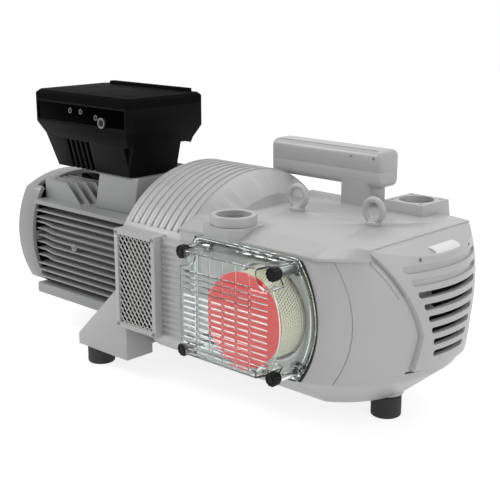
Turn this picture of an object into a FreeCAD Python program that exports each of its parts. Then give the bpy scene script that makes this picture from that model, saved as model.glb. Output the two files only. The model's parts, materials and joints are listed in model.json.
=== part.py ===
import FreeCAD
import Part
import math
import os

# Rotary vane compressor with a flanged motor and a drive on top of the motor.
# Millimetres, +Z up, +X from the motor towards the louvred nose, the shaft lies in the plane Y = 0.
# The origin is the centre of the underside of the nose foot, on the floor.

Vector = FreeCAD.Vector

# Clearances
SEAT_GAP = 0.3
RUN_GAP = 0.05
SLOT_GAP = 0.1

# Pump: the rotor nearly touches the top of its eccentric bore
SHAFT_Z = 187.0
CYL_BORE_R = 92.0
CYL_WALL = 22.0
CYL_L = 190.0
ROTOR_R = 79.9
PUMP_Z = SHAFT_Z - (CYL_BORE_R - ROTOR_R - SLOT_GAP)
CYL_R = CYL_BORE_R + CYL_WALL
VANE_COUNT = 6
VANE_T = 5.0
VANE_DEPTH = 42.0
SHIELD_T = 23.0
SHIELD_R = CYL_R + 4.0
SHAFT_R = 20.0
SHAFT_STUB = 10.0
SHAFT_END_R = 14.0
BEARING_R = 40.0
BEARING_W = 18.0
SEAL_W = 4.0
OUTLET_HOLE_R = 14.0
OUTLET_HOLE_BACK = 18.0
OUTLET_HOLE_RISE = 55.0

# Feet
PAN_ROOM = 12.0
PAN_Z = PUMP_Z - SHIELD_R - PAN_ROOM
FOOT_SET = 5.0
FOOT_H = PAN_Z - FOOT_SET
FOOT_R = 25.0
FOOT_STUD_R = 5.0
FOOT_STUD_L = 18.0
FOOT_SPAN_X = 534.0

# Pump casing: a slab with a barrel nose, turned about a vertical line
BARREL_R = 210.0
BARREL_MID_Z = SHAFT_Z + 16.0
BARREL_ARC_R = 368.0
NOSE_TIP_X = 110.5
NOSE_X = NOSE_TIP_X - BARREL_R
NOSE_FAR_X = NOSE_X + 2 * BARREL_R
CASING_FLAT_SET = 28.0
CASING_HALF_W = BARREL_R - CASING_FLAT_SET
FOOT_SPAN_Y = 2 * (CASING_HALF_W - 21.0)
CASING_X = -291.0
CASING_WALL = 6.0
CASING_EYE_R = 60.0
CYL_X0 = CASING_X + CASING_WALL + SHIELD_T
CYL_X1 = CYL_X0 + CYL_L
PAN_H = 55.0
CASING_BASE_Z = PAN_Z + PAN_H
PAN_X = -426.0
PAN_NOSE_R = BARREL_R - 82.0
PAN_HALF_W = PAN_NOSE_R - 16.0
PAN_WALL = 5.0
BOSS_WALL = 3.0
SEAM_X = -124.0
SEAM_R = 169.0
SEAM_W = 1.4
SEAM_DEPTH = 1.2

# Hood and end cover
HOOD_ROOM = 19.0
HOOD_Z = PUMP_Z + SHIELD_R + HOOD_ROOM
HOOD_DROP = 18.0
CASING_TOP_Z = HOOD_Z - HOOD_DROP
HOOD_SKIN = 5.0
HOOD_LIP = 1.5
HOOD_LIP_H = 4.0
HOOD_CORNER_R = BARREL_R - 5.3
HOOD_END_HALF_W = 132.0
HOOD_END_X = NOSE_X + math.sqrt(HOOD_CORNER_R**2 - HOOD_END_HALF_W**2)
HOOD_FOLD_HALF_W = CASING_HALF_W - 30.0
HOOD_FOLD_TAPER = 8.0
COVER_PROUD = 9.5
COVER_SLOPE = math.radians(17.5)
COVER_SKIN = 8.0
COVER_STEP = 2.0
COVER_RIM = 8.0
COVER_BOTTOM_Z = CASING_BASE_Z + 18.0
COVER_WAIST_Z = COVER_BOTTOM_Z + 58.0
COVER_SIDE_Z = COVER_WAIST_Z + 61.0
COVER_BROW_Z = HOOD_Z - 13.0
COVER_HALF_W = (139.0, 126.0, 89.0, 63.0, 69.0)
COVER_SCREW_Y = 65.5
COVER_SCREW_Z = HOOD_Z - 20.0
COVER_SCREW_R = 3.0
RIDGE_SET = 5.0
RIDGE_W = 4.0
RIDGE_H = 3.0
SLIT_H = 4.0
SLIT_DROP = 2.0
LOUVRE_COUNT = 8
LOUVRE_BLIND = 2
LOUVRE_TOP_Z = HOOD_Z - 33.0
LOUVRE_PITCH = 19.4
LOUVRE_H = 10.0
LOUVRE_TOP_HALF_W = 92.0
LOUVRE_LOW_HALF_W = 36.0
LOUVRE_END_R = 3.0
LOUVRE_DEPTH = 4.0

# Ribbed cowl over coupling and cooling fan
COWL_X = -440.0
COWL_ARC_R = CASING_HALF_W + 25.0
COWL_ARC_Z = SHAFT_Z - 26.0
COWL_WALL = 5.0
COWL_CONE_L = 40.0
COWL_CONE_DROP = 37.0
RIB_COUNT = 9
RIB_W = 5.0
RIB_H = 3.0

# Air outlets on both sides of the cowl
OUTLET_X0 = COWL_X + 2.0
OUTLET_X1 = OUTLET_X0 + 103.0
OUTLET_H = 176.0
OUTLET_TOP_Z = CASING_BASE_Z + OUTLET_H
RIB_LOW_Z = OUTLET_TOP_Z + 9.0
OUTLET_PROUD = 19.0
OUTLET_RIM = 9.0
MESH_SET = 2.0
MESH_LEAN = 0.5
MESH_T = 1.5
MESH_BAR = 2.2
MESH_PITCH = 9.5

# Ribbed side panels
PANEL_X1 = OUTLET_X1 + 71.0
PANEL_T = 2.0
PANEL_RIB_H = 2.5
PANEL_RIB_W = 6.0
PANEL_RIB_TOP_W = 4.0
PANEL_RIB_PITCH = 10.0

# Filter bay, cartridge and clear cover
FILTER_X = -97.0
FILTER_Z = SHAFT_Z + 10.0
FILTER_R = 73.0
FILTER_FRONT_Y = -CASING_HALF_W - 56.0
FILTER_CAP_T = 6.0
FILTER_CAP_LIP = 2.5
FILTER_CORE_R = 44.0
PAPER_T = 3.0
DISH_R = 32.0
PLEATS = 30
JACKET_T = 1.2
BAY_R = FILTER_R + 6.0
BAY_WALL = 3.5
BAY_FLOOR_Y = -CYL_R - 6.0
INTAKE_R = 20.0
INTAKE_END_Y = -CYL_R + 14.0
GASKET_T = 2.0
GASKET_W = 7.0
CLEAR_WALL = 3.0
CLEAR_LIP_T = 4.0
CLEAR_DEPTH = 77.0
CLEAR_LEFT_X = FILTER_X - FILTER_R - 86.0
CLEAR_RIGHT_X = FILTER_X + FILTER_R - 4.0
CLEAR_TOP_Z = FILTER_Z + FILTER_R + 20.0
CLEAR_LOW_Z = FILTER_Z - FILTER_R - 24.0
CLEAR_BACK_Y = -CASING_HALF_W - GASKET_T - SEAT_GAP
CLEAR_FRONT_Y = CLEAR_BACK_Y - CLEAR_DEPTH
CLEAR_BULGE = 31.0
CLEAR_FRONT_LEFT = 50.0
CLEAR_FRONT_TOP = 16.0
CLEAR_FRONT_LOW = 21.0
CLEAR_FRONT_RIGHT = 6.0
CLEAR_RIB = 1.6
CLEAR_RIB_W = 2.0
CLEAR_RIB_PITCH = 10.0
CLEAR_RIB_ROWS = 14
CLEAR_RIB_COLUMNS = 6
KNOB_R = 11.0
KNOB_L = 17.0
KNOB_NECK_L = 3.0
KNOB_NECK_SET = 2.5
KNOB_STUD_R = 5.0
KNOB_Y = -CASING_HALF_W - 47.0
KNOB_X = (CLEAR_LEFT_X + 29.0, CLEAR_RIGHT_X - 9.0)
KNOB_Z = (CLEAR_LOW_Z + 18.0, CLEAR_TOP_Z - 11.0)
KNOB_LOBES = 10
FLUTE_R = 1.8
FLUTE_SET = 0.8
BOSS_R = 14.0
POCKET_R = BOSS_R + 1.5

# Coupling and fans
HUB_R = 38.0
HUB_L = 28.0
CLAW_L = 15.0
CLAW_COUNT = 3
CLAW_GAP_DEG = 0.8
CLAW_IN_R = 17.0
SPIDER_PLAY = 0.5
SPIDER_SET = 1.0
COUPLING_X = COWL_X + 45.0
FAN_R = 124.0
FAN_PLATE = 4.0
FAN_W = 44.0
FAN_BLADES = 12
FAN_EYE_R = 74.0
FAN_LEAN = 30.0
FAN_HUB_WALL = 9.0
FAN_HUB_SHARE = 0.7
BLADE_T = 3.0
BLADE_SET = 2.0
NOSE_FAN_R = 80.0
NOSE_FAN_X = 22.0
NOSE_FAN_W = 26.0
NOSE_FAN_BLADES = 9

# Motor
PLATE_T = 8.0
FLANGE_T = 22.0
MOTOR_L = 324.0
MOTOR_X1 = COWL_X - PLATE_T - FLANGE_T
MOTOR_X0 = MOTOR_X1 - MOTOR_L
MOTOR_CORE_R = 92.0
MOTOR_WALL = 8.0
MOTOR_HALF_W = 113.0
MOTOR_NECK_HALF_W = 40.0
MOTOR_DECK_Z = SHAFT_Z + 75.0
MOTOR_DECK_T = 8.0
MOTOR_RAIL_Z = SHAFT_Z - 117.0
MOTOR_RAIL_H = 20.0
FIN_COUNT = 11
FIN_T = 2.6
FIN_PITCH = 13.6
FIN_LOW_Z = MOTOR_RAIL_Z + MOTOR_RAIL_H + 13.0
FIN_SET = 2.0
FIN_BENT = (3, 9)
FIN_BEND = 4.0
FIN_BEND_X = 30.0
FIN_BEND_L = 24.0
DECK_FIN_COUNT = 5
DECK_FIN_Y = -84.0
DECK_FIN_PITCH = 14.0
DECK_FIN_STEP = 12.0
DECK_FIN_H = 38.0
DECK_FIN_FOOT = 35.0
DECK_FIN_BACK = 75.0
LUG_X = MOTOR_X0 + 124.0
LUG_Z = SHAFT_Z - 4.0
LUG_R = 7.0
LUG_T = 5.0
FLANGE_R = 108.0
SPIGOT_R = 92.0
MOTOR_SHAFT_R = 15.0
MOTOR_SHAFT_STEP = 5.0
MOTOR_BEARING_R = 31.0
MOTOR_BEARING_W = 16.0
STATOR_R = 52.0
AIR_GAP = 0.5
STACK_X0 = MOTOR_X0 + 94.0
STACK_L = 150.0
WINDING_L = 28.0
WINDING_SET = 4.0
FAN_COWL_L = 55.0
FAN_COWL_X = MOTOR_X0 - FAN_COWL_L
FAN_COWL_HALF = 120.0
FAN_COWL_ARC_R = 190.0
FAN_COWL_CORNER_R = 143.0
FAN_COWL_STEP = 10.0
FAN_COWL_WALL = 3.0
MOTOR_FAN_R = 84.0
MOTOR_FAN_W = 24.0
MOTOR_FAN_GAP = 6.0
FAN_SLOT_COUNT = 11
FAN_SLOT_PITCH = 13.0
FAN_SLOT_W = 5.0
SHIELD_ARM_HALF = 9.0
SHIELD_ARM_T = 4.0
SCOOP_Y = 78.0
SCOOP_Z = SHAFT_Z + 103.0
SCOOP_R = 12.0
SCOOP_L = 20.0

# Motor-side foot bracket
ARM_LOW_Z = FOOT_H - 7.0
ARM_TIP_X = -FOOT_SPAN_X - FOOT_R - 6.0
ARM_TIP_Z = ARM_LOW_Z + 21.0
ARM_END_X = COWL_X + 12.0
ARM_KNEE_X = COWL_X - 41.0
ARM_KNEE_Z = CASING_BASE_Z + 33.0
ARM_TOP_Z = CASING_BASE_Z + 72.0
ARM_Y_OUT = FOOT_SPAN_Y / 2 + 27.0
ARM_DEPTH = 60.0

# Drive and its adapter
ADAPTER_H = 68.0
ADAPTER_X0 = MOTOR_X0 + 148.0
ADAPTER_X1 = ADAPTER_X0 + 114.0
ADAPTER_HALF_W = 62.0
ADAPTER_SPREAD = 14.0
DRIVE_L = 291.0
DRIVE_X0 = MOTOR_X0 - 11.0
DRIVE_X1 = DRIVE_X0 + DRIVE_L
DRIVE_HALF_W = 95.0
DRIVE_LOW_Z = MOTOR_DECK_Z + ADAPTER_H
DRIVE_WAIST_Z = DRIVE_LOW_Z + 64.0
DRIVE_SPLIT_Z = DRIVE_WAIST_Z + 24.0
DRIVE_LID_Z = DRIVE_SPLIT_Z + 44.0
DRIVE_TOP_Z = DRIVE_LID_Z + 18.0
DRIVE_CHAMFER = 10.0
DRIVE_TAPER = 16.0
DRIVE_STEP = 12.0
DRIVE_LID_ROUND = 6.0
DRIVE_RIDGE_W = 14.0
DRIVE_RIDGE_H = 6.0
DRIVE_RIDGE_SET = 30.0
DRIVE_PANEL_X = 14.0
DRIVE_PANEL_L = DRIVE_L - 2 * DRIVE_PANEL_X
DRIVE_PANEL_LOW = 6.0
DRIVE_PANEL_TOP = 4.0
DRIVE_PANEL_DEPTH = 2.0
DRIVE_SLOTS = 5
DRIVE_SLOT_X = 85.0
DRIVE_SLOT_PITCH = 15.0
DRIVE_SLOT_W = 9.0
DRIVE_SLOT_DEPTH = 34.0
DRIVE_GROOVE_SET = 13.0
DRIVE_GROOVE_W = 10.0
DRIVE_GROOVE_DEPTH = 34.0
DRIVE_WINDOW_SET = 138.0
DRIVE_WINDOW_W = 37.0
DRIVE_WINDOW_DEPTH = 72.0
DRIVE_SIDE_TOP = 6.0
DRIVE_SIDE_LOW = 10.0
# each connector: back from the front corner, up from the split, radius, how far it stands proud
DRIVE_PLUGS = (
    (171.0, 29.0, 5.0, 2.0), (139.0, 29.0, 5.0, 2.0), (92.0, 22.0, 5.0, 4.0), (73.0, 14.0, 10.0, 7.0),
)

# Ports, silencer and lifting eyes
PORT_X = -195.0
PORT_Y = -CASING_HALF_W + 27.0
PORT_BORE_R = 28.5
PORT_NECK_R = PORT_BORE_R + 4.5
PORT_RING_R = PORT_NECK_R + 4.5
PORT_BLOCK = 80.0
PORT_BLOCK_CUT = 12.0
PORT_BLOCK_Z = HOOD_Z + 3.0
PORT_TOP_Z = PORT_BLOCK_Z + 16.0
PORT_LOW_Z = HOOD_Z - 14.0
FLANGE_X = -51.0
FLANGE_Y = CASING_HALF_W - 43.0
FLANGE_SIZE = 77.0
FLANGE_TAPER = 3.0
FLANGE_BORE_R = 30.0
FLANGE_TOP_Z = HOOD_Z + 18.0
FLANGE_BOLTS = 58.0
FLANGE_BOLT_R = 3.4
FLANGE_BOLT_L = 14.0
VALVE_R = 21.0
VALVE_T = 3.0
VALVE_STEM_R = 4.0
VALVE_SEAT_Z = HOOD_Z - 32.0
VALVE_SEAT_T = 4.0
VALVE_GUIDE_L = 14.0
CAGE_WALL = 3.0
CAGE_R = VALVE_R + SEAT_GAP + CAGE_WALL
CHANNEL_X0 = CYL_X1 - 38.0
CHANNEL_Y0 = FLANGE_Y - 43.0
CHANNEL_TOP_Z = HOOD_Z - 44.0
CHANNEL_LOW_Z = CHANNEL_TOP_Z - 63.0
CHANNEL_WALL = 5.0
OUTLET_HOLE_X = CYL_X1 - OUTLET_HOLE_BACK
OUTLET_HOLE_Z = PUMP_Z + OUTLET_HOLE_RISE
SILENCER_L = 247.0
SILENCER_X1 = FLANGE_X - 48.0
SILENCER_X0 = SILENCER_X1 - SILENCER_L
SILENCER_Y = HOOD_FOLD_HALF_W - 25.0
SILENCER_HALF_W = 28.0
SILENCER_LOW_Z = HOOD_Z + 33.0
SILENCER_SPLIT_Z = SILENCER_LOW_Z + 28.0
SILENCER_TOP_Z = SILENCER_SPLIT_Z + 36.0
SILENCER_ROUND = 13.0
SILENCER_END_ROUND = 9.0
SILENCER_WALL = 3.5
GROOVE_SET = 8.0
GROOVE_W = 3.0
LEG_L = 57.0
LEG_X1 = SILENCER_X1 - 25.0
LEG_X0 = LEG_X1 - LEG_L
LEG_ROUND = 8.0
EYE_X = (-195.0, -36.0)
EYE_RING_R = 17.5
EYE_BAR_R = 5.0
EYE_SIDES = 12
EYE_LIFT = 1.0
EYE_Z = HOOD_Z + EYE_RING_R + EYE_BAR_R + EYE_LIFT
EYE_COLLAR_R = 10.0
EYE_COLLAR_H = 6.0
EYE_BOSS_R = 12.0
EYE_STUD_L = 18.0

AXES = {"x": Vector(1, 0, 0), "y": Vector(0, 1, 0), "z": Vector(0, 0, 1)}
pieces = {}


def place(axis, level, u, v):
    """A point at level along axis and at u, v in the other two, in X, Y, Z order."""
    if axis == "x":
        return Vector(level, u, v)
    if axis == "y":
        return Vector(u, level, v)
    return Vector(u, v, level)


def span(x, y, z):
    """A block between the low and high values along each axis."""
    low = Vector(x[0], y[0], z[0])
    return Part.makeBox(x[1] - x[0], y[1] - y[0], z[1] - z[0], low)


def rod(axis, u, v, radius, low, high):
    """A cylinder along an axis, from low to high, at u, v in the other two."""
    return Part.makeCylinder(radius, high - low, place(axis, low, u, v), AXES[axis])


def ring(axis, u, v, outer, inner, low, high):
    """A tube along an axis."""
    return rod(axis, u, v, outer, low, high).cut(rod(axis, u, v, inner, low, high))


def loop(axis, level, *steps):
    """A closed wire: each step is a point, or a pair of points for an arc through the first."""
    first = steps[0]
    here = place(axis, level, *first)
    edges = []
    for step in steps[1:] + (first,):
        if isinstance(step[0], tuple):
            middle = place(axis, level, *step[0])
            there = place(axis, level, *step[1])
            edges.append(Part.Arc(here, middle, there).toShape())
        else:
            there = place(axis, level, *step)
            if here.distanceToPoint(there) < 1e-6:
                continue
            edges.append(Part.LineSegment(here, there).toShape())
        here = there
    return Part.Wire(edges)


def prism(axis, low, high, *steps):
    """A straight extrusion of a closed outline."""
    return Part.Face(loop(axis, low, *steps)).extrude(AXES[axis] * (high - low))


def turned(u, v, *steps):
    """A body turned about the vertical line through u, v, from an outline of radius and height."""
    shifted = []
    for step in steps:
        if isinstance(step[0], tuple):
            shifted.append(tuple((u + r, z) for r, z in step))
        else:
            shifted.append((u + step[0], step[1]))
    face = Part.Face(loop("y", v, *shifted))
    return face.revolve(Vector(u, v, 0), AXES["z"], 360)


def mirrored(shape):
    """The same shape on the other side of the shaft plane."""
    return shape.mirror(Vector(0, 0, 0), AXES["y"])


def fuse(shapes):
    """One body from several that touch or overlap."""
    return shapes[0].multiFuse(shapes[1:]).removeSplitter()


def spun(shape, count, start=0.0):
    """Copies of a shape turned evenly about the shaft line."""
    copies = []
    for i in range(count):
        copy = shape.copy()
        copy.rotate(Vector(0, 0, SHAFT_Z), AXES["x"], start + 360.0 / count * i)
        copies.append(copy)
    return copies


def save(node, shape):
    """Keeps a finished piece under its name."""
    pieces[node] = shape


def barrel_r(z, offset=0.0):
    """The barrel's radius at a height."""
    arc = BARREL_ARC_R + offset
    return BARREL_R - BARREL_ARC_R + math.sqrt(arc**2 - (z - BARREL_MID_Z) ** 2)


def barrel(low, high, offset=0.0):
    """The solid barrel between two heights, its outer face moved out by offset."""
    middle = (low + high) / 2
    return turned(
        NOSE_X, 0, (0, low), (barrel_r(low, offset), low),
        ((barrel_r(middle, offset), middle), (barrel_r(high, offset), high)), (0, high),
    )


def casing_form(low, high, offset=0.0):
    """The solid slab with its barrel nose."""
    half = CASING_HALF_W + offset
    front = span((NOSE_X, NOSE_FAR_X), (-half, half), (low, high))
    slab = span((CASING_X - offset, NOSE_X), (-half, half), (low, high))
    return barrel(low, high, offset).common(front).fuse(slab).removeSplitter()


def below_slope(drop=0.0):
    """The space under the sloping top of the end cover, lowered by drop."""
    top = HOOD_Z - COVER_STEP - drop / math.cos(COVER_SLOPE)
    far = top - (NOSE_FAR_X - HOOD_END_X) * math.tan(COVER_SLOPE)
    return prism(
        "y", -NOSE_FAR_X, NOSE_FAR_X,
        (CASING_X, 0), (NOSE_FAR_X, 0), (NOSE_FAR_X, far), (HOOD_END_X, top), (CASING_X, top),
    )


def cover_outline(inset=0.0):
    """The end cover's border seen along the shaft, drawn in by inset."""
    bottom = COVER_BOTTOM_Z + inset
    corner, brow, side, waist, foot = [w - inset for w in COVER_HALF_W]
    return [
        (corner, HOOD_Z), (brow, COVER_BROW_Z), ((side, COVER_SIDE_Z), (waist, COVER_WAIST_Z)),
        (foot, bottom), (-foot, bottom), (-waist, COVER_WAIST_Z),
        ((-side, COVER_SIDE_Z), (-brow, COVER_BROW_Z)), (-corner, HOOD_Z),
    ]


def cover_band(near, far, proud, low, high):
    """A band beside the end cover's border, between two distances outside it, on the barrel."""
    ends = (HOOD_END_X, NOSE_FAR_X)
    band = prism("x", *ends, *cover_outline(-far)).cut(prism("x", *ends, *cover_outline(-near)))
    half = CASING_HALF_W
    return band.common(barrel(low, high, proud)).common(span(ends, (-half, half), (low, high)))


def make_pump_casing():
    """The casing's side walls and coupling-side wall, with their openings."""
    face = -CASING_HALF_W
    low, high = CASING_BASE_Z, CASING_TOP_Z
    outer = casing_form(low, high)
    inner = casing_form(low - 1, high + 1, -CASING_WALL)
    wall_x = CASING_X + CASING_WALL
    end_wall = span((CASING_X, wall_x), (face, -face), (low, high))
    ridge = cover_band(RIDGE_SET, RIDGE_SET + RIDGE_W, RIDGE_H, COVER_SIDE_Z, high)
    shell = outer.fuse([ridge, end_wall]).cut(inner)
    shell = shell.fuse(end_wall)
    slit_z = COVER_BOTTOM_Z - SLIT_DROP
    slit_y = COVER_HALF_W[-1] + RIDGE_SET
    seam = ring("y", SEAM_X, FILTER_Z, SEAM_R, SEAM_R - SEAM_W, face - 1, -1)
    seam = seam.common(span((FILTER_X, NOSE_FAR_X), (face - 1, -1), (low + 1, high - 1)))
    tools = [
        prism("x", HOOD_END_X - COVER_RIM, NOSE_FAR_X, *cover_outline(COVER_RIM)),
        rod("x", 0, SHAFT_Z, CASING_EYE_R, CASING_X - 1, wall_x + 1),
        rod("y", FILTER_X, FILTER_Z, BAY_R, face - 1, face + CASING_WALL + 1),
        span((HOOD_END_X, NOSE_FAR_X), (-slit_y, slit_y), (slit_z - SLIT_H, slit_z)),
        seam.cut(casing_form(low, high, -SEAM_DEPTH)),
    ]
    for x, z in knob_places():
        tools.append(rod("y", x, z, KNOB_STUD_R + RUN_GAP, face - 1, face + CASING_WALL + 1))
    return shell.cut(tools).common(below_slope(COVER_SKIN + SEAT_GAP)).removeSplitter()


def pan_form(inset):
    """The pan's solid form, drawn in on all sides by inset."""
    levels = []
    for z, half, radius in (
        (PAN_Z + inset, PAN_HALF_W - inset, PAN_NOSE_R - inset),
        (CASING_BASE_Z, CASING_HALF_W - inset, barrel_r(CASING_BASE_Z) - inset),
    ):
        reach = NOSE_X + math.sqrt(radius**2 - half**2)
        left = PAN_X + inset
        arc = ((NOSE_X + radius, 0), (reach, half))
        levels.append(loop("z", z, (left, -half), (reach, -half), arc, (left, half)))
    return Part.makeLoft(levels, True, True)


def make_pan():
    """The tray under the casing, with the boss of the nose foot."""
    x, y = foot_places()[0]
    boss = rod("z", x, y, FOOT_R + BOSS_WALL, FOOT_H, FOOT_H + FOOT_STUD_L + BOSS_WALL)
    hole = rod("z", x, y, FOOT_STUD_R, FOOT_H - 1, FOOT_H + FOOT_STUD_L + 1)
    shell = pan_form(0.0).cut(pan_form(PAN_WALL))
    return fuse([shell, boss]).cut(hole)


def foot_places():
    """The three feet: one at the nose and two at the motor."""
    return [(0, 0), (-FOOT_SPAN_X, -FOOT_SPAN_Y / 2), (-FOOT_SPAN_X, FOOT_SPAN_Y / 2)]


def knob_places():
    """The four corners of the clear cover that a knob holds."""
    return [(x, z) for x in KNOB_X for z in KNOB_Z]


def make_rubber_feet():
    """Three bonded rubber buffers with their studs."""
    feet = []
    for x, y in foot_places():
        body = turned(
            x, y,
            (0, 0), (FOOT_R - 2, 0), (FOOT_R, 2), (FOOT_R, FOOT_H - 5),
            (FOOT_R - 3, FOOT_H - 3), (FOOT_R - 3, FOOT_H), (0, FOOT_H),
        )
        stud = rod("z", x, y, FOOT_STUD_R, FOOT_H - 1, FOOT_H + FOOT_STUD_L)
        feet.append(body.fuse(stud))
    return Part.makeCompound(feet)


def hood_skin(inset):
    """The hood's solid form: a lip, sides that slope to a flat top, a curved front corner."""
    lip = HOOD_LIP - inset
    edge = CASING_HALF_W + lip
    fold = HOOD_FOLD_HALF_W - inset
    end_x = HOOD_END_X - inset
    turn_x = NOSE_X + math.sqrt((HOOD_CORNER_R - inset) ** 2 - (CASING_HALF_W - inset) ** 2)
    mid_x = (turn_x + end_x) / 2
    end_y = math.sqrt((HOOD_CORNER_R - inset) ** 2 - (end_x - NOSE_X) ** 2)
    mid_y = math.sqrt((HOOD_CORNER_R - inset) ** 2 - (mid_x - NOSE_X) ** 2)
    fold_turn = fold - HOOD_FOLD_TAPER
    fold_mid = (fold_turn + end_y) / 2 + 1
    levels = []
    for z, start_y, turn_y, bend_y, last_y in (
        (CASING_TOP_Z, edge, edge, mid_y + lip, end_y + lip),
        (CASING_TOP_Z + HOOD_LIP_H, edge, edge, mid_y + lip, end_y + lip),
        (HOOD_Z - inset, fold, fold_turn, fold_mid, end_y),
    ):
        levels.append(loop(
            "z", z, (CASING_X, -start_y), (turn_x, -turn_y),
            ((mid_x, -bend_y), (end_x, -last_y)), (end_x, last_y),
            ((mid_x, bend_y), (turn_x, turn_y)), (CASING_X, start_y),
        ))
    return Part.makeLoft(levels, True, True)


def make_hood():
    """The hood: a flat top with sloping sides and the smooth end face of the arch."""
    arch = Vector(CASING_X, 0, COWL_ARC_Z)
    end_r = COWL_ARC_R - COWL_CONE_DROP
    cone = Part.makeCone(COWL_ARC_R, end_r, COWL_CONE_L, arch, AXES["x"])
    inner = (COWL_ARC_R - COWL_WALL, end_r - COWL_WALL, COWL_CONE_L - COWL_WALL)
    hollow = Part.makeCone(*inner, arch, AXES["x"])
    under = HOOD_Z - HOOD_SKIN
    above = span((CASING_X, 0), (-BARREL_R, BARREL_R), (under, HOOD_Z + BARREL_R))
    shell = hood_skin(0.0).cut(hood_skin(HOOD_SKIN)).fuse(cone.common(above))
    shell = shell.cut(hollow.common(above))
    bosses = [rod("z", x, 0, EYE_BOSS_R, HOOD_Z - EYE_STUD_L, under + 1) for x in EYE_X]
    shell = fuse([shell] + bosses)
    tools = [rod("z", x, 0, EYE_BAR_R, HOOD_Z - EYE_STUD_L - 1, HOOD_Z + 1) for x in EYE_X]
    tools.append(rod("z", PORT_X, PORT_Y, PORT_NECK_R, CASING_TOP_Z - 1, HOOD_Z + 1))
    tools.append(rod("z", FLANGE_X, FLANGE_Y, CAGE_R, CASING_TOP_Z - 1, HOOD_Z + 1))
    return shell.cut(tools).removeSplitter()


def louvre_half_width(z):
    """Half the width of a louvre at a height: wide at the top, narrow at the bottom."""
    low = LOUVRE_TOP_Z - LOUVRE_PITCH * (LOUVRE_COUNT - 1)
    share = max(0.0, (z - low) / (LOUVRE_TOP_Z - low))
    return LOUVRE_LOW_HALF_W + (LOUVRE_TOP_HALF_W - LOUVRE_LOW_HALF_W) * share**1.35


def make_end_cover():
    """The louvred cover of the nose, with blind louvres above the open ones."""
    border = prism("x", HOOD_END_X + SEAT_GAP, NOSE_FAR_X, *cover_outline())
    outer = barrel(COVER_BOTTOM_Z, HOOD_Z, COVER_PROUD).common(border).common(below_slope())
    inner = barrel(COVER_BOTTOM_Z - 1, HOOD_Z, SEAT_GAP).common(below_slope(COVER_SKIN))
    face = barrel(COVER_BOTTOM_Z, HOOD_Z, COVER_PROUD - LOUVRE_DEPTH)
    tools = []
    for i in range(LOUVRE_COUNT):
        z = LOUVRE_TOP_Z - LOUVRE_PITCH * i
        top = louvre_half_width(z + LOUVRE_H / 2)
        low = louvre_half_width(z - LOUVRE_H / 2)
        high_z, low_z = z + LOUVRE_H / 2, z - LOUVRE_H / 2
        far = (top + low) / 2 + LOUVRE_END_R
        slot = prism(
            "x", HOOD_END_X, NOSE_FAR_X, (-top, high_z), ((-far, z), (-low, low_z)),
            (low, low_z), ((far, z), (top, high_z)),
        )
        tools.append(slot.cut(face) if i < LOUVRE_BLIND else slot)
    for y in (-COVER_SCREW_Y, COVER_SCREW_Y):
        tools.append(rod("x", y, COVER_SCREW_Z, COVER_SCREW_R, HOOD_END_X, NOSE_FAR_X))
    return outer.cut(inner).cut(tools).removeSplitter()


def arch_form(low_z, radius, half, x0, x1):
    """A block with a round top, seen along the shaft."""
    side_z = COWL_ARC_Z + math.sqrt(radius**2 - half**2)
    return prism(
        "x", x0, x1, (-half, low_z), (-half, side_z),
        ((0, COWL_ARC_Z + radius), (half, side_z)), (half, low_z),
    )


def ribbed_arch():
    """The arch's outer form: plain lengths with a raised rib after each."""
    half = CASING_HALF_W
    pitch = (CASING_X - COWL_X) / RIB_COUNT
    lengths = []
    here = COWL_X
    for i in range(RIB_COUNT):
        x = COWL_X + pitch * (i + 0.5)
        lengths.append(arch_form(CASING_BASE_Z, COWL_ARC_R, half, here, x))
        here = x + RIB_W
        band = ring("x", 0, COWL_ARC_Z, COWL_ARC_R + RIB_H, COWL_ARC_R - 1, x, here)
        band = band.common(span((x, here), (-half, half), (RIB_LOW_Z, 2 * COWL_ARC_R)))
        lengths.append(arch_form(CASING_BASE_Z, COWL_ARC_R, half, x, here).fuse(band))
    lengths.append(arch_form(CASING_BASE_Z, COWL_ARC_R, half, here, CASING_X))
    return lengths


def make_cowl():
    """The ribbed arch over the coupling, with an air outlet box on each side."""
    half = CASING_HALF_W
    wall = COWL_WALL
    end = CASING_X
    inner = arch_form(
        CASING_BASE_Z - 1, COWL_ARC_R - wall, half - wall, COWL_X + wall, end - wall
    )
    face = half + OUTLET_PROUD
    box = span((OUTLET_X0, OUTLET_X1), (-face, face), (CASING_BASE_Z, OUTLET_TOP_Z))
    rim = OUTLET_RIM
    throat = span(
        (OUTLET_X0 + rim, OUTLET_X1 - rim), (-face - 1, face + 1),
        (CASING_BASE_Z + rim, OUTLET_TOP_Z - rim),
    )
    lengths = ribbed_arch()
    shell = lengths[0].multiFuse(lengths[1:] + [box]).cut([inner, throat])
    eyes = [
        rod("x", 0, SHAFT_Z, SPIGOT_R + RUN_GAP, COWL_X - 1, COWL_X + wall + 1),
        rod("x", 0, SHAFT_Z, CASING_EYE_R, end - wall - 1, end + 1),
    ]
    return shell.cut(eyes)


def slanted_bars(y, shift):
    """One layer of parallel bars across an outlet, each moved sideways by shift over its height."""
    x0, x1 = OUTLET_X0 + OUTLET_RIM, OUTLET_X1 - OUTLET_RIM
    z0, z1 = CASING_BASE_Z + OUTLET_RIM, OUTLET_TOP_Z - OUTLET_RIM
    window = span((x0, x1), (y, y + MESH_T), (z0, z1))
    bars = []
    for i in range(int((x1 - x0 + 2 * abs(shift)) / MESH_PITCH)):
        x = x0 - abs(shift) + MESH_PITCH * i
        bar = prism(
            "y", y, y + MESH_T, (x, z0), (x + MESH_BAR, z0),
            (x + MESH_BAR + shift, z1), (x + shift, z1),
        ).common(window)
        if bar.Volume > 1:
            bars.append(bar)
    return bars


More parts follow.
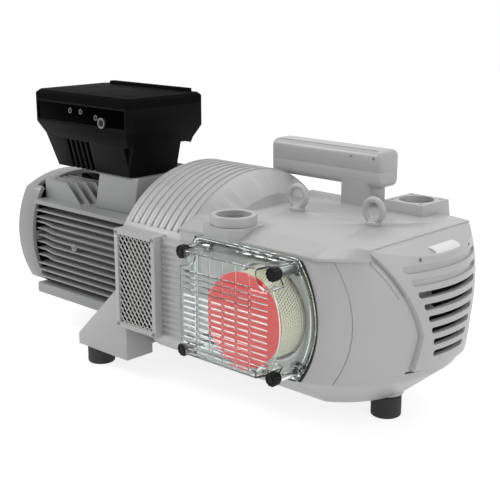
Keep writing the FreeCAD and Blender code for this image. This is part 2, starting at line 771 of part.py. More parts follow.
def make_outlet_meshes():
    """The mesh of each air outlet: two layers of crossing bars, set behind the rim."""
    face = -CASING_HALF_W - OUTLET_PROUD + MESH_SET
    shift = (OUTLET_TOP_Z - CASING_BASE_Z) * MESH_LEAN
    front = Part.makeCompound(slanted_bars(face, shift) + slanted_bars(face + MESH_T, -shift))
    save("outlet_mesh_front", front)
    save("outlet_mesh_rear", mirrored(front))


def make_side_panels():
    """The ribbed panels between each air outlet and the smooth casing."""
    low, high = CASING_BASE_Z, OUTLET_TOP_Z
    face = -CASING_HALF_W
    base = face - PANEL_T
    steps = [(face, low), (base, low)]
    count = int((high - low) / PANEL_RIB_PITCH)
    gap = (PANEL_RIB_PITCH - PANEL_RIB_W) / 2
    slope = (PANEL_RIB_W - PANEL_RIB_TOP_W) / 2
    for i in range(count):
        z = low + PANEL_RIB_PITCH * i
        steps += [
            (base, z + gap), (base - PANEL_RIB_H, z + gap + slope),
            (base - PANEL_RIB_H, z + gap + slope + PANEL_RIB_TOP_W), (base, z + gap + PANEL_RIB_W),
        ]
    steps += [(base, high), (face, high)]
    front = prism("x", OUTLET_X1, PANEL_X1, *steps)
    return Part.makeCompound([front, mirrored(front)])


def clear_form(inset, front_gap):
    """The clear cover's solid form: a D at the casing that narrows to a smaller D in front."""
    levels = []
    for y, left, top, low, right in (
        (CLEAR_BACK_Y, 0.0, 0.0, 0.0, 0.0),
        (CLEAR_FRONT_Y + front_gap, CLEAR_FRONT_LEFT, CLEAR_FRONT_TOP, CLEAR_FRONT_LOW,
         CLEAR_FRONT_RIGHT),
    ):
        x0 = CLEAR_LEFT_X + left + inset
        x1 = CLEAR_RIGHT_X - right - inset
        z0 = CLEAR_LOW_Z + low + inset
        z1 = CLEAR_TOP_Z - top - inset
        arc = ((x1 + CLEAR_BULGE, (z0 + z1) / 2), (x1, z1))
        levels.append(loop("y", y, (x0, z0), (x1, z0), arc, (x0, z1)))
    return Part.makeLoft(levels, True, True)


def clear_slab(y0, y1):
    """A slab as large as the clear cover, between two levels of Y."""
    far = CLEAR_RIGHT_X + 2 * CLEAR_BULGE
    return span((CLEAR_LEFT_X, far), (y0, y1), (CLEAR_LOW_Z, CLEAR_TOP_Z))


def make_clear_cover():
    """The deep clear cover with four recessed corners and a grid of ribs."""
    back, front = CLEAR_BACK_Y, CLEAR_FRONT_Y
    shell = clear_form(0.0, 0.0).cut(clear_form(CLEAR_WALL, CLEAR_WALL))
    lip = clear_form(0.0, 0.0).common(clear_slab(back - CLEAR_LIP_T, back))
    lip = lip.cut(clear_form(GASKET_W, CLEAR_WALL))
    bosses = [rod("y", x, z, BOSS_R, KNOB_Y + SEAT_GAP, back) for x, z in knob_places()]
    pockets = [rod("y", x, z, POCKET_R, front - 1, KNOB_Y + SEAT_GAP) for x, z in knob_places()]
    body = fuse([shell, lip] + bosses).cut(pockets)
    x0 = CLEAR_LEFT_X + CLEAR_FRONT_LEFT
    x1 = CLEAR_RIGHT_X - CLEAR_FRONT_RIGHT
    z0 = CLEAR_LOW_Z + CLEAR_FRONT_LOW
    z1 = CLEAR_TOP_Z - CLEAR_FRONT_TOP
    middle = (z0 + z1) / 2
    half = CLEAR_RIB_W / 2
    depth = (front - CLEAR_RIB, front)
    ribs = []
    for i in range(CLEAR_RIB_ROWS):
        z = middle + CLEAR_RIB_PITCH * (i - (CLEAR_RIB_ROWS - 1) / 2)
        ribs.append(span((x0, x1), depth, (z - half, z + half)))
    for i in range(CLEAR_RIB_COLUMNS):
        x = x0 + (x1 - x0) * (i + 0.5) / CLEAR_RIB_COLUMNS
        ribs.append(span((x - half, x + half), depth, (z0 + half, z1 - half)))
    pits = [rod("y", x, z, POCKET_R, front - CLEAR_RIB - 1, front) for x, z in knob_places()]
    body = body.fuse(fuse(ribs).cut(pits))
    holes = [rod("y", x, z, KNOB_STUD_R + RUN_GAP, front, back + 1) for x, z in knob_places()]
    return body.cut(holes).removeSplitter()


def make_cover_gasket():
    """The flat gasket between the clear cover and the casing."""
    y1 = -CASING_HALF_W
    y0 = y1 - GASKET_T
    shift = Vector(0, GASKET_T + SEAT_GAP, 0)
    outer = clear_form(0.0, 0.0).translated(shift).common(clear_slab(y0, y1))
    inner = clear_form(GASKET_W, 0.0).translated(shift)
    pads = [rod("y", x, z, BOSS_R, y0, y1).common(outer) for x, z in knob_places()]
    holes = [rod("y", x, z, KNOB_STUD_R + 1, y0, y1) for x, z in knob_places()]
    return outer.cut(inner).fuse(pads).cut(holes).removeSplitter()


def make_knob(x, z):
    """A black thumb knob with a fluted rim, and its stud."""
    head = rod("y", x, z, KNOB_R, KNOB_Y - KNOB_L, KNOB_Y)
    neck_r = KNOB_R - KNOB_NECK_SET
    neck = ring("y", x, z, KNOB_R + 1, neck_r, KNOB_Y - KNOB_NECK_L, KNOB_Y + 1)
    flutes = []
    for i in range(KNOB_LOBES):
        turn = 2 * math.pi * i / KNOB_LOBES
        u = x + (KNOB_R + FLUTE_SET) * math.cos(turn)
        v = z + (KNOB_R + FLUTE_SET) * math.sin(turn)
        flutes.append(rod("y", u, v, FLUTE_R, KNOB_Y - KNOB_L - 1, KNOB_Y))
    stud = rod("y", x, z, KNOB_STUD_R, KNOB_Y - 1, -CASING_HALF_W + CASING_WALL)
    return head.cut([neck] + flutes).fuse(stud).removeSplitter()


def make_filter_bay():
    """The cup in the casing that the cartridge stands in, with its outlet tube."""
    face = -CASING_HALF_W
    floor = BAY_FLOOR_Y
    cup = ring("y", FILTER_X, FILTER_Z, BAY_R, BAY_R - BAY_WALL, face, floor)
    base = rod("y", FILTER_X, FILTER_Z, BAY_R, floor - BAY_WALL, floor)
    tube = rod("y", FILTER_X, FILTER_Z, INTAKE_R + BAY_WALL, floor - 1, INTAKE_END_Y)
    bore = rod("y", FILTER_X, FILTER_Z, INTAKE_R, floor - BAY_WALL - 1, INTAKE_END_Y + 1)
    return fuse([cup, base, tube]).cut(bore)


def make_filter():
    """The cartridge: pleated paper, perforated jacket and two end caps."""
    back = BAY_FLOOR_Y - BAY_WALL
    front = FILTER_FRONT_Y
    cap = FILTER_CAP_T
    jacket_r = FILTER_R - FILTER_CAP_LIP
    outline = []
    for i in range(PLEATS):
        for r, share in ((jacket_r - JACKET_T, 0.0), (FILTER_CORE_R, 0.5)):
            turn = 2 * math.pi * (i + share) / PLEATS
            outline.append((FILTER_X + r * math.cos(turn), FILTER_Z + r * math.sin(turn)))
    pleats = prism("y", front + cap, back - cap, *outline)
    paper = pleats.cut(rod("y", FILTER_X, FILTER_Z, FILTER_CORE_R - PAPER_T, front, back))
    save("filter_paper", paper)
    jacket = ring("y", FILTER_X, FILTER_Z, jacket_r, jacket_r - JACKET_T, front + cap, back - cap)
    save("filter_jacket", jacket)
    face = rod("y", FILTER_X, FILTER_Z, FILTER_R, front, front + cap)
    dish = rod("y", FILTER_X, FILTER_Z, DISH_R, front - 1, front + cap / 2)
    foot = ring("y", FILTER_X, FILTER_Z, FILTER_R, INTAKE_R, back - cap, back)
    save("filter_end_caps", Part.makeCompound([face.cut(dish), foot]))


def make_pump_cylinder():
    """The cylinder with its eccentric bore, intake and outlet."""
    body = rod("x", 0, PUMP_Z, CYL_R, CYL_X0, CYL_X1)
    tools = [
        rod("x", 0, PUMP_Z, CYL_BORE_R, CYL_X0 - 1, CYL_X1 + 1),
        rod("y", FILTER_X, FILTER_Z, INTAKE_R + BAY_WALL, -CYL_R - 1, 0),
        rod("y", OUTLET_HOLE_X, OUTLET_HOLE_Z, OUTLET_HOLE_R, 0, CYL_R + 1),
    ]
    save("pump_cylinder", body.cut(tools))


def make_end_shields():
    """The two end shields of the cylinder with their lip seals; returns their bearings."""
    bearings = []
    shields = []
    seals = []
    for face, side in ((CYL_X0, -1), (CYL_X1, 1)):
        far = face + SHIELD_T * side
        seal = face + SEAL_W * side
        disc = rod("x", 0, PUMP_Z, SHIELD_R, min(face, far), max(face, far))
        seat = rod("x", 0, SHAFT_Z, BEARING_R, min(seal, far), max(seal, far))
        eye = rod("x", 0, SHAFT_Z, SHAFT_R + RUN_GAP, min(face, far) - 1, max(face, far) + 1)
        shields.append(disc.cut([seat, eye]))
        inner = seal + BEARING_W * side
        low, high = min(seal, inner), max(seal, inner)
        bearings.append(ring("x", 0, SHAFT_Z, BEARING_R, SHAFT_R + RUN_GAP, low, high))
        low, high = min(inner, far), max(inner, far)
        seals.append(ring("x", 0, SHAFT_Z, BEARING_R, SHAFT_R + RUN_GAP, low, high))
    save("pump_end_shields", Part.makeCompound(shields))
    save("shaft_seals", Part.makeCompound(seals))
    return bearings


def make_rotor_and_vanes():
    """The slotted rotor on its shaft, with a vane resting in each slot."""
    x0, x1 = CYL_X0 + SLOT_GAP, CYL_X1 - SLOT_GAP
    reach = ROTOR_R - SLOT_GAP
    floor = reach - VANE_DEPTH
    width = VANE_T / 2 + SLOT_GAP
    slot = span((x0 - 1, x1 + 1), (floor, ROTOR_R + 1), (SHAFT_Z - width, SHAFT_Z + width))
    body = rod("x", 0, SHAFT_Z, ROTOR_R, x0, x1).cut(spun(slot, VANE_COUNT))
    save("pump_rotor", body.cut(rod("x", 0, SHAFT_Z, SHAFT_R, x0 - 1, x1 + 1)))
    half = VANE_T / 2
    vane = span((x0, x1), (floor + SLOT_GAP, reach), (SHAFT_Z - half, SHAFT_Z + half))
    for i, shape in enumerate(spun(vane, VANE_COUNT)):
        save(f"vane_{i + 1}", shape)
    shaft = rod("x", 0, SHAFT_Z, SHAFT_R, CYL_X0 - SHIELD_T - SHAFT_STUB, NOSE_FAN_X)
    thin_x0 = COUPLING_X + CLAW_L + SPIDER_PLAY
    thin = rod("x", 0, SHAFT_Z, SHAFT_END_R, thin_x0, NOSE_FAN_X + NOSE_FAN_W * FAN_HUB_SHARE)
    save("pump_shaft", shaft.fuse(thin).removeSplitter())


def claws(side):
    """The three claws of one coupling half, seen along the shaft."""
    x0, x1 = COUPLING_X, COUPLING_X + CLAW_L
    tooth = 360.0 / CLAW_COUNT / 4 - CLAW_GAP_DEG
    shape = Part.makeCylinder(
        HUB_R, x1 - x0, Vector(x0, 0, SHAFT_Z), AXES["x"], tooth
    ).cut(rod("x", 0, SHAFT_Z, CLAW_IN_R, x0 - 1, x1 + 1))
    return spun(shape, CLAW_COUNT, side * 180.0 / CLAW_COUNT)


def make_coupling():
    """Two claw hubs with an elastic spider between their claws."""
    x0, x1 = COUPLING_X, COUPLING_X + CLAW_L
    motor = rod("x", 0, SHAFT_Z, HUB_R, x0 - HUB_L, x0)
    motor = fuse([motor] + claws(0))
    save("motor_hub", motor.cut(rod("x", 0, SHAFT_Z, MOTOR_SHAFT_R, x0 - HUB_L - 1, x0 + 1)))
    pump = rod("x", 0, SHAFT_Z, HUB_R, x1, x1 + HUB_L)
    pump = fuse([pump] + claws(1))
    save("pump_hub", pump.cut(rod("x", 0, SHAFT_Z, SHAFT_END_R, x1 - 1, x1 + HUB_L + 1)))
    arm_deg = 360.0 / CLAW_COUNT / 4 - CLAW_GAP_DEG
    low, high = x0 + SPIDER_PLAY, x1 - SPIDER_PLAY
    start = Vector(low, 0, SHAFT_Z)
    arm = Part.makeCylinder(HUB_R - SPIDER_SET, high - low, start, AXES["x"], arm_deg)
    arms = spun(arm, 2 * CLAW_COUNT, 90.0 / CLAW_COUNT)
    core = rod("x", 0, SHAFT_Z, CLAW_IN_R - SPIDER_SET, low, high)
    save("coupling_spider", fuse([core] + arms))


def fan_wheel(x0, plate, width, outer, eye, bore, blades, blade_t, lean):
    """A radial fan wheel: back plate, hub and leaning blades."""
    disc = rod("x", 0, SHAFT_Z, outer, x0, x0 + plate)
    hub = rod("x", 0, SHAFT_Z, bore + FAN_HUB_WALL, x0, x0 + width * FAN_HUB_SHARE)
    blade = span((x0, x0 + width), (eye, outer - BLADE_SET), (SHAFT_Z, SHAFT_Z + blade_t))
    blade.rotate(Vector(0, eye, SHAFT_Z), AXES["x"], lean)
    wheel = fuse([disc, hub] + spun(blade, blades))
    return wheel.cut(rod("x", 0, SHAFT_Z, bore, x0 - 1, x0 + width + 1))


def make_fans():
    """The cooling fan on the coupling, the nose fan and the motor's own fan."""
    x = COUPLING_X + CLAW_L
    save("cooling_fan", fan_wheel(
        x, FAN_PLATE, FAN_W, FAN_R, FAN_EYE_R, HUB_R, FAN_BLADES, BLADE_T, -FAN_LEAN,
    ))
    save("nose_fan", fan_wheel(
        NOSE_FAN_X, FAN_PLATE, NOSE_FAN_W, NOSE_FAN_R, NOSE_FAN_R / 2, SHAFT_END_R,
        NOSE_FAN_BLADES, BLADE_T, -FAN_LEAN,
    ))
    save("motor_fan", fan_wheel(
        MOTOR_X0 - MOTOR_FAN_GAP - MOTOR_FAN_W, FAN_PLATE, MOTOR_FAN_W, MOTOR_FAN_R,
        MOTOR_FAN_R / 2, MOTOR_SHAFT_R, NOSE_FAN_BLADES, BLADE_T, 0,
    ))


def make_fin(level, bend):
    """One fin of the motor, with its fan end raised by bend."""
    low, high = MOTOR_X0 + FIN_SET, MOTOR_X1 - FIN_SET
    knee, flat = MOTOR_X0 + FIN_BEND_X, MOTOR_X0 + FIN_BEND_X + FIN_BEND_L
    top = level + FIN_T
    return prism(
        "y", FIN_SET - MOTOR_HALF_W, MOTOR_HALF_W - FIN_SET,
        (low, level + bend), (knee, level + bend), (flat, level), (high, level),
        (high, top), (flat, top), (knee, top + bend), (low, top + bend),
    )


def make_motor():
    """The finned motor housing with its deck and base rail, and the parts inside it."""
    x0, x1 = MOTOR_X0, MOTOR_X1
    half = MOTOR_HALF_W
    core = rod("x", 0, SHAFT_Z, MOTOR_CORE_R, x0, x1)
    deck = span((x0, x1), (-half, half), (MOTOR_DECK_Z - MOTOR_DECK_T, MOTOR_DECK_Z))
    rail = span((x0, x1), (-half, half), (MOTOR_RAIL_Z, MOTOR_RAIL_Z + MOTOR_RAIL_H))
    neck_z = (MOTOR_RAIL_Z, MOTOR_DECK_Z)
    neck = span((x0, x1), (-MOTOR_NECK_HALF_W, MOTOR_NECK_HALF_W), neck_z)
    solids = [core, deck, rail, neck]
    for i in range(FIN_COUNT):
        bend = FIN_BEND if FIN_BENT[0] <= i < FIN_BENT[1] else 0.0
        solids.append(make_fin(FIN_LOW_Z + FIN_PITCH * i, bend))
    for i in range(DECK_FIN_COUNT):
        y = DECK_FIN_Y + DECK_FIN_PITCH * i
        foot_x = ADAPTER_X0 - DECK_FIN_FOOT + DECK_FIN_STEP * i
        top_x = ADAPTER_X0 - DECK_FIN_BACK + DECK_FIN_STEP * i
        top_z = MOTOR_DECK_Z + DECK_FIN_H
        solids.append(prism(
            "y", y, y + FIN_T, (x0 + FIN_SET, MOTOR_DECK_Z - 1), (x0 + FIN_SET, top_z),
            (top_x, top_z), (foot_x, MOTOR_DECK_Z - 1),
        ))
    for y in (-half, half - LUG_T):
        solids.append(rod("y", LUG_X, LUG_Z, LUG_R, y, y + LUG_T))
    bore = rod("x", 0, SHAFT_Z, MOTOR_CORE_R - MOTOR_WALL, x0 - 1, x1 + 1)
    save("motor_housing", fuse(solids).cut(bore))
    stator_r = MOTOR_CORE_R - MOTOR_WALL
    s0, s1 = STACK_X0, STACK_X0 + STACK_L
    save("stator_core", ring("x", 0, SHAFT_Z, stator_r, STATOR_R, s0, s1))
    coils = []
    outer, inner = stator_r - WINDING_SET, STATOR_R + WINDING_SET
    for low in (s0 - WINDING_L, s1):
        coils.append(ring("x", 0, SHAFT_Z, outer, inner, low, low + WINDING_L))
    save("stator_windings", Part.makeCompound(coils))
    thick_r = MOTOR_SHAFT_R + MOTOR_SHAFT_STEP
    save("rotor_core", ring("x", 0, SHAFT_Z, STATOR_R - AIR_GAP, thick_r, s0, s1))
    shaft = rod("x", 0, SHAFT_Z, MOTOR_SHAFT_R, x0 - MOTOR_FAN_GAP - MOTOR_FAN_W, COUPLING_X)
    thick = rod("x", 0, SHAFT_Z, thick_r, x0 + MOTOR_BEARING_W + 2, x1 - 2)
    save("motor_shaft", shaft.fuse(thick).removeSplitter())


def make_motor_shields():
    """The flange on the pump side and the shield on the fan side; returns their bearings."""
    x1 = MOTOR_X1
    face = COWL_X - PLATE_T
    flange = rod("x", 0, SHAFT_Z, FLANGE_R, x1, face)
    spigot = rod("x", 0, SHAFT_Z, SPIGOT_R, face, COWL_X + COWL_WALL)
    tools = [
        rod("x", 0, SHAFT_Z, MOTOR_BEARING_R, x1 - 1, x1 + MOTOR_BEARING_W),
        rod("x", 0, SHAFT_Z, MOTOR_SHAFT_R + BOSS_WALL, x1, 0),
    ]
    save("motor_flange", fuse([flange, spigot]).cut(tools))
    x0 = MOTOR_X0
    width = MOTOR_BEARING_W
    shield = rod("x", 0, SHAFT_Z, MOTOR_CORE_R - MOTOR_WALL, x0, x0 + width)
    reach = FAN_COWL_HALF - FAN_COWL_WALL - FAN_COWL_STEP / 2 - SEAT_GAP
    half = SHIELD_ARM_HALF
    arm_x = (x0 - SHIELD_ARM_T, x0)
    flat = span(arm_x, (-reach, reach), (SHAFT_Z - half, SHAFT_Z + half))
    tall = span(arm_x, (-half, half), (SHAFT_Z - reach, SHAFT_Z + reach))
    hole = rod("x", 0, SHAFT_Z, MOTOR_BEARING_R, x0 - MOTOR_FAN_GAP, x0 + width + 1)
    save("motor_end_shield", fuse([shield, flat, tall]).cut(hole))
    bearings = []
    for low in (x0, x1):
        bearings.append(ring(
            "x", 0, SHAFT_Z, MOTOR_BEARING_R, MOTOR_SHAFT_R + RUN_GAP, low, low + width,
        ))
    return bearings


def rounded_square(x0, x1, inset):
    """A square with bulging sides and round corners, drawn in by inset."""
    half = FAN_COWL_HALF - inset
    arc_r = FAN_COWL_ARC_R - inset
    sides = []
    for y, z in ((1, 0), (0, 1), (-1, 0), (0, -1)):
        shift = half - arc_r
        sides.append(rod("x", y * shift, SHAFT_Z + z * shift, arc_r, x0, x1))
    corner_r = FAN_COWL_CORNER_R - inset
    body = rod("x", 0, SHAFT_Z, corner_r, x0, x1)
    for side in sides:
        body = body.common(side)
    return body


def make_fan_cowl():
    """The motor's fan cowl: a rounded square cup with air slots in its end."""
    x0, x1 = FAN_COWL_X, MOTOR_X0
    step = FAN_COWL_STEP
    outer = rounded_square(x0 + step, x1, 0).fuse(rounded_square(x0, x0 + step, step / 2))
    inner = rounded_square(x0 + FAN_COWL_WALL, x1 + 1, FAN_COWL_WALL + step / 2)
    slots = []
    for i in range(FAN_SLOT_COUNT):
        z = SHAFT_Z + FAN_SLOT_PITCH * (i - (FAN_SLOT_COUNT - 1) / 2)
        half = math.sqrt(MOTOR_FAN_R**2 - (z - SHAFT_Z) ** 2)
        slot_z = (z - FAN_SLOT_W / 2, z + FAN_SLOT_W / 2)
        slots.append(span((x0 - 1, x0 + FAN_COWL_WALL + 1), (-half, half), slot_z))
    scoop = rod("x", -SCOOP_Y, SCOOP_Z, SCOOP_R, x1 - SCOOP_L, x1 + 1)
    save("fan_cowl", outer.cut([inner, scoop, mirrored(scoop)] + slots).removeSplitter())


def make_foot_bracket():
    """The casting that carries the motor side: a plate with an arm to each rear foot."""
    low, tip = ARM_LOW_Z, ARM_TIP_Z
    face = COWL_X - SEAT_GAP
    arm = prism(
        "y", -ARM_Y_OUT, -ARM_Y_OUT + ARM_DEPTH, (ARM_TIP_X, low), (ARM_TIP_X, tip),
        (ARM_KNEE_X, ARM_KNEE_Z), (face, ARM_TOP_Z), (face, CASING_BASE_Z - SEAT_GAP),
        (ARM_END_X, CASING_BASE_Z - SEAT_GAP), (ARM_END_X, low),
    )
    plate = arch_form(PAN_Z, COWL_ARC_R - RIB_H, CASING_HALF_W, COWL_X - PLATE_T, face)
    bore = rod("x", 0, SHAFT_Z, SPIGOT_R + RUN_GAP, COWL_X - PLATE_T - 1, COWL_X)
    body = fuse([arm, mirrored(arm), plate]).cut(bore)
    tools = []
    for x, y in foot_places()[1:]:
        tools.append(rod("z", x, y, FOOT_R + 2, low - 1, FOOT_H))
        tools.append(rod("z", x, y, FOOT_STUD_R, FOOT_H - 1, FOOT_H + FOOT_STUD_L + 1))
    save("foot_bracket", body.cut(tools).removeSplitter())


def drive_level(z, inset):
    """The drive's outline at a height: a rectangle with cut corners."""
    x0, x1 = DRIVE_X0 + inset, DRIVE_X1 - inset
    half = DRIVE_HALF_W - inset
    c = DRIVE_CHAMFER
    return loop(
        "z", z, (x0 + c, -half), (x1 - c, -half), (x1, -half + c), (x1, half - c),
        (x1 - c, half), (x0 + c, half), (x0, half - c), (x0, -half + c),
    )


def stacked(levels):
    """A body lofted straight from each outline to the next."""
    return Part.makeLoft([drive_level(z, inset) for z, inset in levels], True, True)


def drive_cuts():
    """The hollows of the drive: front panel, cooling slots, corner groove and side window."""
    face = -DRIVE_HALF_W
    x0, x1 = DRIVE_X0, DRIVE_X1
    side_z = (DRIVE_LOW_Z + DRIVE_SIDE_LOW, DRIVE_WAIST_Z - DRIVE_SIDE_TOP)
    cuts = [
        span(
            (x0 + DRIVE_PANEL_X, x0 + DRIVE_PANEL_X + DRIVE_PANEL_L),
            (face - 1, face + DRIVE_PANEL_DEPTH),
            (DRIVE_SPLIT_Z + DRIVE_PANEL_LOW, DRIVE_LID_Z - DRIVE_PANEL_TOP),
        ),
        span((x1 - DRIVE_GROOVE_DEPTH, x1 + 1), drive_side(DRIVE_GROOVE_SET, DRIVE_GROOVE_W),
             (DRIVE_LOW_Z - 1, side_z[1])),
        span((x1 - DRIVE_WINDOW_DEPTH, x1 + 1), drive_side(DRIVE_WINDOW_SET, DRIVE_WINDOW_W), side_z),
    ]
    for i in range(DRIVE_SLOTS):
        x = x0 + DRIVE_SLOT_X + DRIVE_SLOT_PITCH * i
        cuts.append(span(
            (x, x + DRIVE_SLOT_W), (face, face + DRIVE_SLOT_DEPTH), (DRIVE_LOW_Z - 1, side_z[1]),
        ))
    return cuts


def drive_side(start, width):
    """A stretch of the drive's end face, from start behind its front edge."""
    return (start - DRIVE_HALF_W, start - DRIVE_HALF_W + width)


def make_drive():
    """The drive on the motor: slotted lower body, lid, connectors and adapter."""
    body = stacked([
        (DRIVE_LOW_Z, DRIVE_TAPER + DRIVE_STEP), (DRIVE_WAIST_Z, DRIVE_STEP),
        (DRIVE_SPLIT_Z, 0), (DRIVE_LID_Z, 0),
    ])
    face = -DRIVE_HALF_W
    seat = face + DRIVE_PANEL_DEPTH
    plugs = []
    for back, rise, radius, proud in DRIVE_PLUGS:
        x, z = DRIVE_X1 - back, DRIVE_SPLIT_Z + rise
        plugs.append(rod("y", x, z, radius, face - proud, seat))
    save("drive_housing", body.cut(drive_cuts() + plugs).removeSplitter())
    save("drive_connectors", Part.makeCompound(plugs))
    lid = stacked([
        (DRIVE_LID_Z, 0), (DRIVE_TOP_Z - DRIVE_LID_ROUND, 0), (DRIVE_TOP_Z, DRIVE_LID_ROUND),
    ])
    ridge_y = DRIVE_HALF_W - DRIVE_LID_ROUND - DRIVE_RIDGE_W
    ridge = span(
        (DRIVE_X0 + DRIVE_RIDGE_SET, DRIVE_X1 - DRIVE_RIDGE_SET), (ridge_y, ridge_y + DRIVE_RIDGE_W),
        (DRIVE_TOP_Z - 1, DRIVE_TOP_Z + DRIVE_RIDGE_H),
    )
    save("drive_lid", lid.fuse(ridge).removeSplitter())
    half = ADAPTER_HALF_W
    wide = half + ADAPTER_SPREAD
    block = prism(
        "x", ADAPTER_X0, ADAPTER_X1, (-wide, MOTOR_DECK_Z), (-half, DRIVE_LOW_Z),
        (half, DRIVE_LOW_Z), (wide, MOTOR_DECK_Z),
    )
    saddle = rod("x", 0, SHAFT_Z, MOTOR_CORE_R, ADAPTER_X0 - 1, ADAPTER_X1 + 1)
    save("terminal_adapter", block.cut(saddle))


def make_screwed_port():
    """The screwed port's ring on its block."""
    half = PORT_BLOCK / 2
    c = PORT_BLOCK_CUT
    block = prism(
        "z", CASING_TOP_Z, PORT_BLOCK_Z, (PORT_X - half + c, PORT_Y - half),
        (PORT_X + half - c, PORT_Y - half), (PORT_X + half, PORT_Y - half + c),
        (PORT_X + half, PORT_Y + half - c), (PORT_X + half - c, PORT_Y + half),
        (PORT_X - half + c, PORT_Y + half), (PORT_X - half, PORT_Y + half - c),
        (PORT_X - half, PORT_Y - half + c),
    )
    neck = rod("z", PORT_X, PORT_Y, PORT_NECK_R, PORT_LOW_Z, PORT_BLOCK_Z + 1)
    save("port_block", block.cut([hood_skin(0.0), neck]).removeSplitter())
    collar = rod("z", PORT_X, PORT_Y, PORT_RING_R, PORT_BLOCK_Z, PORT_TOP_Z)
    bore = rod("z", PORT_X, PORT_Y, PORT_BORE_R, PORT_LOW_Z - 1, PORT_TOP_Z + 1)
    save("port_ring", collar.fuse(neck).cut(bore).removeSplitter())


def square(size, z):
    """A square outline about the flange's middle at a height."""
    half = size / 2
    x0, x1, y0, y1 = FLANGE_X - half, FLANGE_X + half, FLANGE_Y - half, FLANGE_Y + half
    return loop("z", z, (x0, y0), (x1, y0), (x1, y1), (x0, y1))


def make_square_flange():
    """The square flange, stepped inside for the valve's cage below it."""
    low, top = CASING_TOP_Z, FLANGE_TOP_Z
    sides = [square(FLANGE_SIZE + 2 * FLANGE_TAPER, low), square(FLANGE_SIZE, top)]
    tools = [
        hood_skin(0.0),
        rod("z", FLANGE_X, FLANGE_Y, FLANGE_BORE_R, HOOD_Z, top + 1),
        rod("z", FLANGE_X, FLANGE_Y, CAGE_R, low - 1, HOOD_Z + 1),
    ]
    for u in (-FLANGE_BOLTS / 2, FLANGE_BOLTS / 2):
        for v in (-FLANGE_BOLTS / 2, FLANGE_BOLTS / 2):
            x, y = FLANGE_X + u, FLANGE_Y + v
            tools.append(rod("z", x, y, FLANGE_BOLT_R, top - FLANGE_BOLT_L, top + 1))
    plate = Part.makeLoft(sides, True, True)
    save("discharge_flange", plate.cut(tools).removeSplitter())


def make_valve():
    """The non-return valve in its cage under the flange, and the channel from the cylinder."""
    x, y = FLANGE_X, FLANGE_Y
    seat_z = VALVE_SEAT_Z
    stem_r = VALVE_STEM_R
    low_z = seat_z - VALVE_GUIDE_L
    cage = ring("z", x, y, CAGE_R, CAGE_R - CAGE_WALL, CHANNEL_TOP_Z, HOOD_Z)
    seat = ring("z", x, y, CAGE_R, VALVE_R - 6, seat_z - VALVE_SEAT_T, seat_z)
    guide = ring("z", x, y, stem_r + CAGE_WALL, stem_r + RUN_GAP, low_z, seat_z)
    reach = CAGE_R - 1
    bar = span((x - reach, x + reach), (y - 2, y + 2), (seat_z - 10, seat_z - 2))
    bar = bar.cut(rod("z", x, y, stem_r + RUN_GAP, low_z - 1, seat_z))
    save("valve_seat", fuse([cage, seat, guide, bar]))
    disc = rod("z", x, y, VALVE_R, seat_z + SLOT_GAP, seat_z + VALVE_T)
    stem = rod("z", x, y, stem_r, low_z - 2, seat_z + VALVE_T)
    save("valve_disc", disc.fuse(stem).removeSplitter())
    top, wall = CHANNEL_TOP_Z, CHANNEL_WALL
    far_x, far_y = x + CAGE_R + wall, y + CAGE_R
    box = span((CHANNEL_X0, far_x), (CHANNEL_Y0, far_y), (CHANNEL_LOW_Z, top))
    room = span(
        (CHANNEL_X0 + wall, far_x - wall), (CHANNEL_Y0 + wall, far_y - wall),
        (CHANNEL_LOW_Z + wall, top - wall),
    )
    tools = [
        room,
        rod("x", 0, PUMP_Z, CYL_R + SEAT_GAP, CYL_X0, CYL_X1),
        rod("x", 0, PUMP_Z, SHIELD_R + SEAT_GAP, CYL_X1 - SEAT_GAP, 0),
        rod("z", x, y, CAGE_R - CAGE_WALL, top - wall - 1, top + 1),
        rod("y", OUTLET_HOLE_X, OUTLET_HOLE_Z, OUTLET_HOLE_R, 0, CHANNEL_Y0 + 20),
    ]
    save("discharge_channel", box.cut(tools).removeSplitter())


def rounded_bar(inset, round_r, end_r):
    """The silencer's form with round edges, drawn in on all sides by inset."""
    half = SILENCER_HALF_W - inset
    x0, x1 = SILENCER_X0 + inset, SILENCER_X1 - inset
    bar = span(
        (x0, x1), (SILENCER_Y - half, SILENCER_Y + half),
        (SILENCER_LOW_Z + inset, SILENCER_TOP_Z - inset),
    )
    along = [e for e in bar.Edges if abs(e.BoundBox.XLength - (x1 - x0)) < 1]
    bar = bar.makeFillet(round_r, along)
    ends = [e for e in bar.Edges if e.BoundBox.XLength < 1]
    return bar.makeFillet(end_r, ends)


